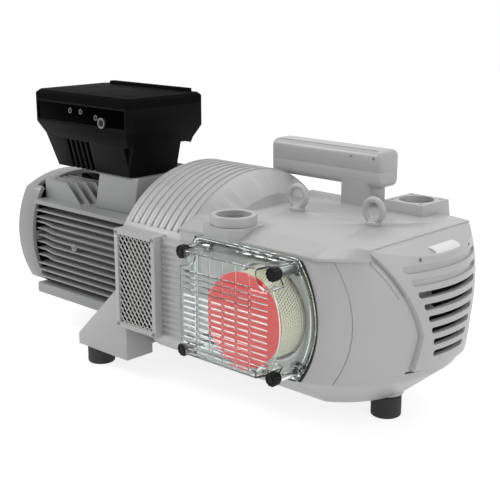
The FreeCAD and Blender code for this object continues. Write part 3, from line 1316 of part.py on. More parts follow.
def make_silencer():
    """The silencer: a lower shell with its leg, a lid and the foam between."""
    x0, x1 = SILENCER_X0, SILENCER_X1
    low, high = SILENCER_LOW_Z, SILENCER_TOP_Z
    half = SILENCER_HALF_W
    wall = SILENCER_WALL
    body = rounded_bar(0.0, SILENCER_ROUND, SILENCER_END_ROUND)
    room = rounded_bar(wall, SILENCER_ROUND - wall, SILENCER_END_ROUND - wall)
    leg_y = (SILENCER_Y - half, SILENCER_Y + half)
    leg = span((LEG_X0, LEG_X1), leg_y, (HOOD_Z, low + SILENCER_ROUND))
    corners = [
        e for e in leg.Edges if e.BoundBox.ZLength > 1 and e.CenterOfMass.x > LEG_X0 + 1
    ]
    leg = leg.makeFillet(LEG_ROUND, corners)
    split = SILENCER_SPLIT_Z
    lower = span((x0 - 1, x1 + 1), (0, 2 * SILENCER_Y), (0, split))
    upper = span((x0 - 1, x1 + 1), (0, 2 * SILENCER_Y), (split, 2 * high))
    save("silencer_body", body.common(lower).fuse(leg).cut(room).removeSplitter())
    groove_y = SILENCER_Y - half + GROOVE_SET
    groove = span(
        (x0 + SILENCER_ROUND, x1 - SILENCER_ROUND), (groove_y, groove_y + GROOVE_W),
        (high - GROOVE_W, high + 1),
    )
    save("silencer_lid", body.common(upper).cut([room, groove]).removeSplitter())
    gap = wall + SEAT_GAP
    save("silencer_foam", rounded_bar(gap, SILENCER_ROUND - gap, SILENCER_END_ROUND - gap))


def make_eye_bolts():
    """Two lifting eyes screwed into the hood's bosses."""
    corners = []
    for i in range(EYE_SIDES):
        turn = 2 * math.pi * (i + 0.5) / EYE_SIDES
        corners.append((EYE_RING_R + EYE_BAR_R * math.cos(turn), EYE_BAR_R * math.sin(turn)))
    eyes = []
    for x in EYE_X:
        eye = turned(x, 0, *corners)
        eye.rotate(Vector(x, 0, 0), AXES["x"], 90)
        eye.translate(Vector(0, 0, EYE_Z))
        collar = rod("z", x, 0, EYE_COLLAR_R, HOOD_Z, HOOD_Z + EYE_COLLAR_H)
        stud = rod("z", x, 0, EYE_BAR_R, HOOD_Z - EYE_STUD_L, HOOD_Z + 1)
        eyes.append(fuse([eye, collar, stud]))
    save("eye_bolts", Part.makeCompound(eyes))


save("rubber_feet", make_rubber_feet())
save("pan", make_pan())
save("pump_casing", make_pump_casing())
save("hood", make_hood())
save("end_cover", make_end_cover())
save("cowl", make_cowl())
make_outlet_meshes()
save("side_panels", make_side_panels())
save("clear_cover", make_clear_cover())
save("cover_gasket", make_cover_gasket())
for number, (knob_x, knob_z) in enumerate(knob_places(), 1):
    save(f"cover_knob_{number}", make_knob(knob_x, knob_z))
save("filter_bay", make_filter_bay())
make_filter()
make_pump_cylinder()
pump_bearings = make_end_shields()
make_rotor_and_vanes()
make_coupling()
make_fans()
make_motor()
save("shaft_bearings", Part.makeCompound(pump_bearings + make_motor_shields()))
make_fan_cowl()
make_foot_bracket()
make_drive()
make_screwed_port()
make_square_flange()
make_valve()
make_silencer()
make_eye_bolts()

os.makedirs("parts", exist_ok=True)
for name, piece in pieces.items():
    piece.exportStep(f"parts/{name}.step")
    print(name, len(piece.Solids), round(piece.Volume / 1000, 1), piece.isValid())
print(len(pieces), "nodes")
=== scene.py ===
"""Looks of a rotary vane compressor: castings, finned motor, drive and clear filter cover."""

import functools
import json
import logging
import math
from collections.abc import Callable, Iterable
from dataclasses import dataclass
from enum import Enum

import bmesh
import bpy
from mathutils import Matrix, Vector


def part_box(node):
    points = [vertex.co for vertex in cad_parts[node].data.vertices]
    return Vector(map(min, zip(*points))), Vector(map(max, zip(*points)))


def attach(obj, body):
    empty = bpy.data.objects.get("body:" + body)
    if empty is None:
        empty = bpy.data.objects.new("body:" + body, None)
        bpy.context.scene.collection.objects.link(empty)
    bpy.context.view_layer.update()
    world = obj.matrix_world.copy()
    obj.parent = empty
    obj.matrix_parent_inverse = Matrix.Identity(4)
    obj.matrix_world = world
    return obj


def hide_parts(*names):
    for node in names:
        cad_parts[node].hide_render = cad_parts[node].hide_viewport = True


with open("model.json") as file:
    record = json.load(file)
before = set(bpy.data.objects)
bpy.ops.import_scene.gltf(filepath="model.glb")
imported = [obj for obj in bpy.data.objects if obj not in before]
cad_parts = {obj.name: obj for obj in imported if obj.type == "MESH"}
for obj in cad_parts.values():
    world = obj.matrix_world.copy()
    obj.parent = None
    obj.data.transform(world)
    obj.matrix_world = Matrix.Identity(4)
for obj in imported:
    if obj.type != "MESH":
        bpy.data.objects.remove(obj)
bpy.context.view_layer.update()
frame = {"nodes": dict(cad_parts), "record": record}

log = logging.getLogger("compressor")

FaceTest = Callable[[Vector, Vector], bool]
EdgeTest = Callable[[Vector, Vector], bool]

# Corners nearer than this are one
WELD = 2e-6
# A distance that is clear of the whole part, where sight lines start
AWAY = 0.5
# How far a cutting tool reaches past what it cuts
OVERSHOOT = 0.01
# How far a piece is set into what carries it
SET_IN = 0.0002
# Cosines between a normal and an axis, for a face that looks roughly, nearly or fully along it
FACING, LEVEL, FLAT = 0.9, 0.985, 0.999


class Axis(Enum):
    """The part's axes, with the turn that lays a Z cylinder along each."""

    X = (0.0, math.pi / 2, 0.0)
    Y = (-math.pi / 2, 0.0, 0.0)
    Z = (0.0, 0.0, 0.0)

    def vector(self) -> Vector:
        """The unit vector along the axis."""
        return Vector([float(self.name == letter) for letter in "XYZ"])


@functools.cache
def box(node: str) -> tuple[Vector, Vector]:
    """The lowest and highest corner of a CAD node, in metres."""
    low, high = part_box(node)
    return Vector(low), Vector(high)


def linear(hex_code: str) -> tuple[float, float, float, float]:
    """Turns an sRGB hex colour into linear light.

    Args:
        hex_code: six hex digits after a hash.

    Returns:
        Red, green, blue and an alpha of one.
    """
    channels = []
    for start in (1, 3, 5):
        value = int(hex_code[start:start + 2], 16) / 255
        channels.append(value / 12.92 if value <= 0.04045 else ((value + 0.055) / 1.055) ** 2.4)
    return channels[0], channels[1], channels[2], 1.0


def add(
    tree: bpy.types.NodeTree, kind: str, inputs: dict[str | int, object] | None = None, **settings: object
) -> bpy.types.Node:
    """Adds one node to a material.

    Args:
        tree: the material's node tree.
        kind: the node's type name.
        inputs: for each input, by name or number, a constant or the socket that feeds it.
        settings: the node's own properties.

    Returns:
        The new node.
    """
    node = tree.nodes.new(kind)
    for key, value in settings.items():
        setattr(node, key, value)
    for key, value in (inputs or {}).items():
        if isinstance(value, bpy.types.NodeSocket):
            tree.links.new(value, node.inputs[key])
        else:
            node.inputs[key].default_value = value
    return node


@dataclass(frozen=True)
class Finish:
    """A finish with an even colour, faint mottling and a fine surface grain.

    Attributes:
        name: the finish, as a maker calls it.
        colour: sRGB hex of the surface.
        roughness: the shader's roughness at the middle of its range.
        metallic: 1 for bare metal.
        ior: index of refraction of the surface layer.
        mottle: how far the colour wanders, as a share of itself.
        mottle_size: width of the patches in metres.
        grain_size: width of the surface grain in metres. The real grain is about a millimetre
            or less, and it is drawn coarser so that it shows.
        grain_depth: height of the grain in metres.
    """

    name: str
    colour: str
    roughness: float
    metallic: float = 0.0
    ior: float = 1.5
    mottle: float = 0.05
    mottle_size: float = 0.06
    grain_size: float = 0.0025
    grain_depth: float = 0.00004

    def material(self) -> bpy.types.Material:
        """Builds the material once and returns it.

        Returns:
            The material, the same one each time.
        """
        found = bpy.data.materials.get(self.name)
        if found:
            return found
        made = bpy.data.materials.new(self.name)
        made.use_nodes = True
        tree = made.node_tree
        tree.nodes.clear()
        settings: dict[str | int, object] = {"Roughness": self.roughness, "Metallic": self.metallic}
        if self.metallic < 0.5:
            settings["IOR"] = self.ior
        shader = add(tree, "ShaderNodeBsdfPrincipled", settings)
        add(tree, "ShaderNodeOutputMaterial", {"Surface": shader.outputs["BSDF"]})
        coords = add(tree, "ShaderNodeTexCoord")
        place = add(tree, "ShaderNodeMapping", {"Vector": coords.outputs["Object"]})
        self.dress(tree, shader, place.outputs["Vector"])
        return made

    def dress(self, tree: bpy.types.NodeTree, shader: bpy.types.Node, place: bpy.types.NodeSocket) -> None:
        """Feeds the shader with colour, roughness and bump.

        Args:
            tree: the material's node tree.
            shader: its Principled node.
            place: the socket with object coordinates in metres.
        """
        self.tint(tree, shader, place)
        self.grain(tree, shader, place)

    def tint(self, tree: bpy.types.NodeTree, shader: bpy.types.Node, place: bpy.types.NodeSocket) -> None:
        """Wanders the colour and the roughness by a broad noise.

        Args:
            tree: the material's node tree.
            shader: its Principled node.
            place: the socket with object coordinates in metres.
        """
        base = linear(self.colour)
        patches = add(
            tree, "ShaderNodeTexNoise", {"Vector": place, "Scale": 1 / self.mottle_size, "Detail": 4.0}
        )
        low = tuple(c * (1 - self.mottle) for c in base[:3]) + (1.0,)
        high = tuple(min(1.0, c * (1 + self.mottle)) for c in base[:3]) + (1.0,)
        mix = add(
            tree, "ShaderNodeMix", {0: patches.outputs["Fac"], 6: low, 7: high}, data_type="RGBA"
        )
        tree.links.new(mix.outputs[2], shader.inputs["Base Color"])
        spread = add(tree, "ShaderNodeMapRange", {
            "Value": patches.outputs["Fac"], "From Min": 0.3, "From Max": 0.7,
            "To Min": self.roughness * 0.9, "To Max": min(1.0, self.roughness * 1.1),
        })
        tree.links.new(spread.outputs["Result"], shader.inputs["Roughness"])

    def grain(self, tree: bpy.types.NodeTree, shader: bpy.types.Node, place: bpy.types.NodeSocket) -> None:
        """Gives the surface its fine relief.

        Args:
            tree: the material's node tree.
            shader: its Principled node.
            place: the socket with object coordinates in metres.
        """
        dots = add(
            tree, "ShaderNodeTexNoise", {"Vector": place, "Scale": 1 / self.grain_size, "Detail": 2.0}
        )
        bump = add(tree, "ShaderNodeBump", {
            "Height": dots.outputs["Fac"], "Strength": 1.0, "Distance": self.grain_depth,
        })
        tree.links.new(bump.outputs["Normal"], shader.inputs["Normal"])


# Powder-painted aluminium die casting: an even satin grey with a faint orange peel
CASTING_PAINT = Finish("casting_paint", "#B5B5B5", 0.34, ior=1.6, mottle=0.03)
# The same paint over the motor's ribs: a shade darker and a little duller
MOTOR_PAINT = Finish("motor_paint", "#959696", 0.4, ior=1.6, mottle=0.04)
# Polyamide from a spark-eroded mould: nearly black, with a soft sheen
DRIVE_GRAIN = Finish("drive_moulding", "#101010", 0.32, ior=1.12, grain_size=0.0016, grain_depth=0.00001)
# The same polyamide from a smoother mould: the drive's lid, black and quiet
DRIVE_SATIN = Finish("drive_lid_moulding", "#151515", 0.4, ior=1.02, grain_depth=0.00001)
# Glass-filled polyamide, moulded: black with soft highlights on its flutes
KNOB_BLACK = Finish("knob_moulding", "#161616", 0.42, ior=1.25)
# Natural rubber buffers: dull charcoal from the release agent
RUBBER = Finish("rubber_buffer", "#2B2B2B", 0.75, ior=1.52)
# Soft nitrile rubber, moulded: black and nearly without shine
SEAL_RUBBER = Finish("sealing_rubber", "#1C1C1C", 0.7, ior=1.52)
# Expanded steel, zinc-plated: pale, slightly dull strands
MESH_ZINC = Finish("expanded_zinc_steel", "#B9B9B7", 0.42, metallic=0.6)
# Cast polyurethane end cap: a bright even red with a soft shine
CAP_RED = Finish("red_end_cap", "#F01A16", 0.4, ior=1.4)
# Pleated filter paper, resin-soaked: warm brown and matt
PAPER = Finish("filter_paper", "#8C8148", 0.9)
# Perforated steel, yellow passivated: pale, with a warm tinge
JACKET_ZINC = Finish("perforated_jacket", "#F4ECD2", 0.45, metallic=0.15)
# Grey cast iron, machined and oiled: dark metal with a broad shine
CAST_IRON = Finish("machined_cast_iron", "#6F7072", 0.4, metallic=1.0)
# Bearing and shaft steel, ground: bright metal with a tight shine
GROUND_STEEL = Finish("ground_steel", "#A9ABAE", 0.25, metallic=1.0)
# Pressed graphite: dark, dry and slightly metallic
GRAPHITE = Finish("graphite_vane", "#2B2C2E", 0.5, metallic=0.3)
# Die-cast aluminium, left bare: light metal, a little cloudy
CAST_ALUMINIUM = Finish("cast_aluminium", "#C3C4C6", 0.42, metallic=1.0)
# Enamelled copper wire, varnished: brown-orange with a warm shine
COPPER = Finish("varnished_copper", "#B4622F", 0.35, metallic=0.8)
# Stacked electrical sheet: dark grey metal, dull at its cut edges
LAMINATION = Finish("steel_laminations", "#56585B", 0.5, metallic=0.9)
# Cast polyurethane spider: deep red and waxy
SPIDER = Finish("polyurethane_spider", "#B3261B", 0.45)
# Open-cell foam: grey and quite matt
FOAM = Finish("silencer_foam", "#4A4A4A", 0.95)
# Enamelled sheet: a clean bare white
PLATE_WHITE = Finish("white_enamel_plate", "#E9EAEA", 0.35, mottle=0.01)
# Screw heads, zinc-plated: dull silver
SCREW_ZINC = Finish("zinc_plated_screws", "#8E9093", 0.35, metallic=1.0)
# Moulded nose fan behind the louvres: grey, drawn lighter and even as painted light, since little light
# reaches it there
FAN_GREY_PAINTED_LIGHT = Finish("fan_moulding_painted_light", "#DADADA", 0.5)
# Printed foil of the drive's front panel, left bare: glossy black, and drawn near-black as painted shade of
# the recess it lies in
DRIVE_FOIL_AND_SHADE = Finish("front_panel_foil_painted_shade", "#020202", 0.12, ior=1.04, grain_depth=0.000002)
# Nickel-plated connector nuts: grey metal, drawn darker as painted shade of the grooves of their knurling,
# which is not modelled
CONNECTOR_METAL = Finish("nickel_connector_nuts", "#77787A", 0.3, metallic=1.0)


@dataclass(frozen=True)
class PaintWithPaintedShade(Finish):
    """Paint outside, turned dark as painted shade in the passage between the two outlets.

    Attributes:
        painted_shade: sRGB hex of the dark colour painted as shade in the passage.
        margin: how far the painted shade reaches past the outlet sheets' edges, in metres.
    """

    # Painted shade: the dark colour of the passage behind the outlets
    painted_shade: str = "#1E1E1E"
    margin: float = 0.0005

    def space(self) -> tuple[Vector, Vector]:
        """The passage that is painted dark as shade.

        Returns:
            Its lowest and its highest corner.
        """
        low, high = box("outlet_mesh_front")
        rear = box("outlet_mesh_rear")[0]
        reach = self.margin
        return (
            Vector((low.x - reach, high.y + reach, low.z - reach)),
            Vector((high.x + reach, rear.y - reach, high.z + reach)),
        )

    def tint(self, tree: bpy.types.NodeTree, shader: bpy.types.Node, place: bpy.types.NodeSocket) -> None:
        """Darkens the paint's colour inside the passage, as painted shade.

        Args:
            tree: the material's node tree.
            shader: its Principled node.
            place: the socket with object coordinates in metres.
        """
        super().tint(tree, shader, place)
        paint = shader.inputs["Base Color"].links[0].from_socket
        parts = add(tree, "ShaderNodeSeparateXYZ", {"Vector": place})
        low, high = self.space()
        mask = None
        for index in range(3):
            for level, test in ((low[index], "GREATER_THAN"), (high[index], "LESS_THAN")):
                inside = add(tree, "ShaderNodeMath", {0: parts.outputs[index], 1: level}, operation=test)
                if mask is not None:
                    inside = add(
                        tree, "ShaderNodeMath", {0: mask, 1: inside.outputs[0]}, operation="MULTIPLY"
                    )
                mask = inside.outputs[0]
        # Painted shade: inside the passage the paint turns to the dark colour
        mix = add(tree, "ShaderNodeMix", {0: mask, 6: paint, 7: linear(self.painted_shade)}, data_type="RGBA")
        tree.links.new(mix.outputs[2], shader.inputs["Base Color"])


# The cowl's casting paint: satin grey outside, and painted shade, a dark colour, in the passage behind the
# outlets
COWL_PAINT = PaintWithPaintedShade("cowl_paint", "#B5B5B5", 0.34, ior=1.6, mottle=0.03)


@dataclass(frozen=True)
class ClearPlastic(Finish):
    """A clear plastic that light and lamps pass through."""

    def dress(self, tree: bpy.types.NodeTree, shader: bpy.types.Node, place: bpy.types.NodeSocket) -> None:
        """Lets the light through, and lets lamps shine through without a shadow.

        Args:
            tree: the material's node tree.
            shader: its Principled node.
            place: the socket with object coordinates in metres.
        """
        shader.inputs["Transmission Weight"].default_value = 1.0
        shader.inputs["Base Color"].default_value = linear(self.colour)
        self.grain(tree, shader, place)
        clear = add(tree, "ShaderNodeBsdfTransparent", {"Color": linear(self.colour)})
        path = add(tree, "ShaderNodeLightPath")
        soft = add(tree, "ShaderNodeMath", {
            0: path.outputs["Is Shadow Ray"], 1: path.outputs["Is Diffuse Ray"],
        }, operation="MAXIMUM")
        both = add(tree, "ShaderNodeMixShader", {
            0: soft.outputs[0], 1: shader.outputs["BSDF"], 2: clear.outputs[0],
        })
        output = next(node for node in tree.nodes if node.type == "OUTPUT_MATERIAL")
        tree.links.new(both.outputs[0], output.inputs["Surface"])


# Moulded polycarbonate, polished: glass-clear, with a faint waviness
CLEAR = ClearPlastic("clear_polycarbonate", "#F8FCFB", 0.02, ior=1.5, grain_size=0.03, grain_depth=0.00003)


def only(obj: bpy.types.Object) -> None:
    """Makes one object the only selected and the active one.

    Args:
        obj: the object.
    """
    bpy.ops.object.select_all(action="DESELECT")
    obj.select_set(True)
    bpy.context.view_layer.objects.active = obj


class Piece:
    """One mesh of the part, shaped with operators. Its object stays at the origin."""

    def __init__(self, obj: bpy.types.Object, name: str) -> None:
        """Takes over an object and applies its place to its mesh.

        Args:
            obj: the new object.
            name: the piece's name.
        """
        self.obj = obj
        obj.name = name
        obj.data.name = name
        only(obj)
        bpy.ops.object.transform_apply(location=True, rotation=True, scale=True)

    @classmethod
    def block(cls, name: str, low: Iterable[float], high: Iterable[float]) -> "Piece":
        """A block between two corners.

        Args:
            name: the piece's name.
            low: its lowest corner.
            high: its highest corner.

        Returns:
            The new piece.
        """
        a, b = Vector(low), Vector(high)
        bpy.ops.mesh.primitive_cube_add(size=1, location=(a + b) / 2)
        obj = bpy.context.active_object
        obj.scale = b - a
        return cls(obj, name)

    @classmethod
    def rod(
        cls, name: str, axis: Axis, start: Iterable[float], radius: float, length: float, sides: int = 48
    ) -> "Piece":
        """A cylinder that starts at a point and runs along an axis.

        Args:
            name: the piece's name.
            axis: the axis that it runs along.
            start: the middle of its first end.
            radius: its radius.
            length: its length.
            sides: faces round it.

        Returns:
            The new piece.
        """
        centre = Vector(start) + axis.vector() * length / 2
        bpy.ops.mesh.primitive_cylinder_add(
            vertices=sides, radius=radius, depth=length, location=centre, rotation=axis.value
        )
        return cls(bpy.context.active_object, name)

    @classmethod
    def twin(cls, name: str, node: str) -> "Piece":
        """A merged copy of a CAD node, with its flat faces whole again.

        Args:
            name: the piece's name.
            node: the CAD node.

        Returns:
            The new piece.
        """
        obj = frame["nodes"][node].copy()
        obj.data = obj.data.copy()
        obj.parent = None
        # The copy isn't a CAD node, so it drops the marks of one
        for key in list(obj.keys()):
            del obj[key]
        bpy.context.collection.objects.link(obj)
        obj.data.materials.clear()
        piece = cls(obj, name)
        with piece.editing():
            bpy.ops.mesh.select_all(action="SELECT")
            bpy.ops.mesh.remove_doubles(threshold=WELD)
            bpy.ops.mesh.customdata_custom_splitnormals_clear()
            bpy.ops.mesh.dissolve_limited(angle_limit=math.radians(0.3))
        return piece

    @classmethod
    def sheet(cls, name: str, columns: int, rows: int, width: float, height: float) -> "Piece":
        """A flat grid of cells about the origin, width along X and height along Z.

        Args:
            name: the piece's name.
            columns: cells along X.
            rows: cells along Z.
            width: its width.
            height: its height.

        Returns:
            The new piece.
        """
        bpy.ops.mesh.primitive_grid_add(x_subdivisions=columns, y_subdivisions=rows, size=1)
        obj = bpy.context.active_object
        obj.scale = (width, height, 1.0)
        obj.rotation_euler = (math.pi / 2, 0.0, 0.0)
        return cls(obj, name)

    @classmethod
    def hoop(cls, name: str, axis: Axis, centre: Iterable[float], major: float, minor: float) -> "Piece":
        """A round ring of round bar about an axis.

        Args:
            name: the piece's name.
            axis: the ring's axis.
            centre: its middle.
            major: radius of the bar's middle line.
            minor: radius of the bar.

        Returns:
            The new piece.
        """
        bpy.ops.mesh.primitive_torus_add(
            location=Vector(centre), rotation=axis.value, major_segments=64, minor_segments=20,
            major_radius=major, minor_radius=minor,
        )
        return cls(bpy.context.active_object, name)

    def copy(self, name: str) -> "Piece":
        """A copy with a mesh of its own.

        Args:
            name: the copy's name.

        Returns:
            The copy.
        """
        obj = self.obj.copy()
        obj.data = obj.data.copy()
        bpy.context.collection.objects.link(obj)
        return Piece(obj, name)

    def shape(self, move: Callable[[Vector], Vector]) -> "Piece":
        """Moves every vertex by a rule from its place.

        Args:
            move: gives a vertex its new place.

        Returns:
            The piece.
        """
        for vertex in self.obj.data.vertices:
            vertex.co = move(vertex.co.copy())
        self.obj.data.update()
        return self

    def join(self, others: Iterable["Piece"]) -> "Piece":
        """Takes in other pieces as loose parts of this one.

        Args:
            others: the pieces, which become part of this one.

        Returns:
            The piece.
        """
        group = list(others)
        if not group:
            return self
        only(self.obj)
        for other in group:
            other.obj.select_set(True)
        bpy.ops.object.join()
        return self

    def repeat(self, places: Iterable[Iterable[float]], outward: Vector) -> "Piece":
        """Sets copies of a piece that stands on the origin along Z at each place, and joins them.

        Args:
            places: where each copy stands.
            outward: the way that the piece's Z axis points there.

        Returns:
            The joined piece.
        """
        turn = outward.to_track_quat("Z", "Y")
        copies = []
        for i, place in enumerate(places):
            spot = Vector(place)
            copies.append(self.copy(f"{self.obj.name}_{i}").shape(lambda p, spot=spot: turn @ p + spot))
        bpy.data.objects.remove(self.obj)
        return copies[0].join(copies[1:])

    def outwards(self) -> "Piece":
        """Merges doubles and points every face outwards.

        Returns:
            The piece.
        """
        with self.editing():
            bpy.ops.mesh.select_all(action="SELECT")
            bpy.ops.mesh.remove_doubles(threshold=WELD)
            bpy.ops.mesh.normals_make_consistent(inside=False)
        return self

    def editing(self) -> "Editing":
        """A block of edit-mode work on this piece."""
        return Editing(self.obj)

    def modify(self, kind: str, **settings: object) -> "Piece":
        """Adds a modifier and applies it.

        Args:
            kind: the modifier's type.
            settings: the modifier's own properties.

        Returns:
            The piece.
        """
        only(self.obj)
        modifier = self.obj.modifiers.new(kind.title(), kind)
        for key, value in settings.items():
            setattr(modifier, key, value)
        bpy.ops.object.modifier_apply(modifier=modifier.name)
        return self

    def soften(self, width: float, segments: int = 2, angle: float = 35.0) -> "Piece":
        """Rounds the sharp edges and smooths the shading.

        Args:
            width: the rounding in metres.
            segments: faces across each rounding.
            angle: edges sharper than this many degrees are rounded.

        Returns:
            The piece.
        """
        self.modify(
            "BEVEL", width=width, segments=segments, limit_method="ANGLE", angle_limit=math.radians(angle),
            use_clamp_overlap=True, loop_slide=True,
        )
        return self.smooth()

    def smooth(self, angle: float = 32.0) -> "Piece":
        """Shades smooth across all but the sharp edges.

        Args:
            angle: edges sharper than this many degrees stay sharp.

        Returns:
            The piece.
        """
        only(self.obj)
        bpy.ops.object.shade_smooth_by_angle(angle=math.radians(angle))
        return self

    def cut(self, tool: "Piece") -> "Piece":
        """Takes a tool's form out of the piece and deletes the tool.

        Args:
            tool: the form to take out.

        Returns:
            The piece.
        """
        self.modify("BOOLEAN", object=tool.obj, operation="DIFFERENCE", solver="EXACT")
        bpy.data.objects.remove(tool.obj)
        return self

    def done(
        self, finish: Finish, body: str = "frame", slot: str | None = None, replaces: Iterable[str] = ()
    ) -> "Piece":
        """Dresses the piece and fixes it to its body.

        Args:
            finish: the surface finish.
            body: the body that it rides on.
            slot: the record's material slot; not used.
            replaces: the CAD nodes that it stands for.

        Returns:
            The piece.
        """
        self.obj.data.materials.clear()
        self.obj.data.materials.append(finish.material())
        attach(self.obj, body)
        nodes = list(replaces)
        if nodes:
            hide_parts(*nodes)
        log.info("%s: %d faces", self.obj.name, len(self.obj.data.polygons))
        return self


class Editing:
    """Edit mode on one object, as a with block."""

    def __init__(self, obj: bpy.types.Object) -> None:
        """Remembers the object."""
        self.obj = obj

    def __enter__(self) -> "Editing":
        """Opens edit mode with nothing selected.

        Returns:
            This block, whose methods select and move.
        """
        only(self.obj)
        bpy.ops.object.mode_set(mode="EDIT")
        bpy.ops.mesh.select_all(action="DESELECT")
        return self

    def __exit__(self, *error: object) -> None:
        """Closes edit mode."""
        bpy.ops.object.mode_set(mode="OBJECT")

    def faces(self, test: FaceTest) -> None:
        """Selects the faces that pass a test.

        Args:
            test: takes a face's centre and normal.
        """
        bpy.ops.mesh.select_mode(type="FACE")
        mesh = bmesh.from_edit_mesh(self.obj.data)
        for face in mesh.faces:
            face.select_set(test(face.calc_center_median(), face.normal))
        bmesh.update_edit_mesh(self.obj.data)

    def edges(self, test: EdgeTest) -> None:
        """Selects the edges that pass a test.

        Args:
            test: takes an edge's two ends.
        """
        bpy.ops.mesh.select_mode(type="EDGE")
        mesh = bmesh.from_edit_mesh(self.obj.data)
        for edge in mesh.edges:
            edge.select_set(test(edge.verts[0].co, edge.verts[1].co))
        bmesh.update_edit_mesh(self.obj.data)

    def slice(self, test: FaceTest, axis: Axis, place: float) -> None:
        """Cuts the faces that pass a test by a plane square to an axis, and keeps both sides.

        Args:
            test: takes a face's centre and normal.
            axis: the axis.
            place: where the plane crosses it.
        """
        self.faces(test)
        way = axis.vector()
        bpy.ops.mesh.bisect(plane_co=way * place, plane_no=way)

    def outer(self, centre: Vector, normal: Vector) -> bool:
        """Whether a face looks away from the middle of the object's box, seen along Y.

        Args:
            centre: the face's centre.
            normal: its normal.

        Returns:
            True if it does.
        """
        corners = [Vector(corner) for corner in self.obj.bound_box]
        middle = sum(corners, Vector()) / len(corners)
        away = centre - middle
        away.y = 0.0
        return away.dot(normal) > 0

    def keep_between(self, low: float, high: float) -> None:
        """Brings the selected corners back between two places along Y.

        Args:
            low: the lower place.
            high: the upper place.
        """
        mesh = bmesh.from_edit_mesh(self.obj.data)
        for vertex in [vertex for vertex in mesh.verts if vertex.select]:
            vertex.co.y = min(max(vertex.co.y, low), high)
        bmesh.update_edit_mesh(self.obj.data)

    def lean_holes(self, lean: float, height: float) -> None:
        """Leans the selected hole faces, upper edge one way and lower edge the other.

        Args:
            lean: how far the edges move along Y.
            height: height of a whole hole.
        """
        mesh = bmesh.from_edit_mesh(self.obj.data)
        for face in [face for face in mesh.faces if face.select]:
            middle = face.calc_center_median().z
            for vertex in face.verts:
                vertex.co.y += lean * (vertex.co.z - middle) / (height / 2)
        bmesh.update_edit_mesh(self.obj.data)

    def crest(self, places: Iterable[float], depth: float, front: float, middle: float) -> None:
        """Moves the middle line of each upright rib inwards.

        Args:
            places: the lines' places along X.
            depth: how far they move.
            front: the inner front's place along Y.
            middle: the height of the cover's middle.
        """
        mesh = bmesh.from_edit_mesh(self.obj.data)
        for vertex in mesh.verts:
            if min(abs(vertex.co.x - place) for place in places) > WELD:
                continue
            if abs(vertex.co.y - front) < depth:
                vertex.co.y += depth
            else:
                vertex.co.z -= math.copysign(depth, vertex.co.z - middle)
        bmesh.update_edit_mesh(self.obj.data)

    def ridge(
        self, level: float, reach: float, depths: dict[float, float], fits: Callable[[Vector], bool]
    ) -> None:
        """Pulls the middle line of each row out along Y.

        Args:
            level: the rows' place along Y.
            reach: how far off that place a corner may lie.
            depths: how far each row stands out, by its height.
            fits: places where a row may stand.
        """
        mesh = bmesh.from_edit_mesh(self.obj.data)
        for vertex in mesh.verts:
            if abs(vertex.co.y - level) > reach or not fits(vertex.co):
                continue
            for z, depth in depths.items():
                if abs(vertex.co.z - z) < WELD:
                    vertex.co.y += depth
        bmesh.update_edit_mesh(self.obj.data)


@dataclass(frozen=True)
class Lamp:
    """A square soft lamp.

    Attributes:
        name: what it is called.
        place: where it hangs, in metres.
        size: length of its side.
        power: its power in watts.
    """

    name: str
    place: tuple[float, float, float]
    size: float
    power: float

    def hang(self, aim: Vector) -> None:
        """Hangs the lamp and turns it to a point.

        Args:
            aim: the point that it faces.
        """
        data = bpy.data.lights.new(self.name, "AREA")
        data.size = self.size
        data.energy = self.power
        lamp = bpy.data.objects.new(self.name, data)
        bpy.context.collection.objects.link(lamp)
        lamp.location = self.place
        lamp.rotation_mode = "QUATERNION"
        lamp.rotation_quaternion = (aim - Vector(self.place)).to_track_quat("-Z", "Y")


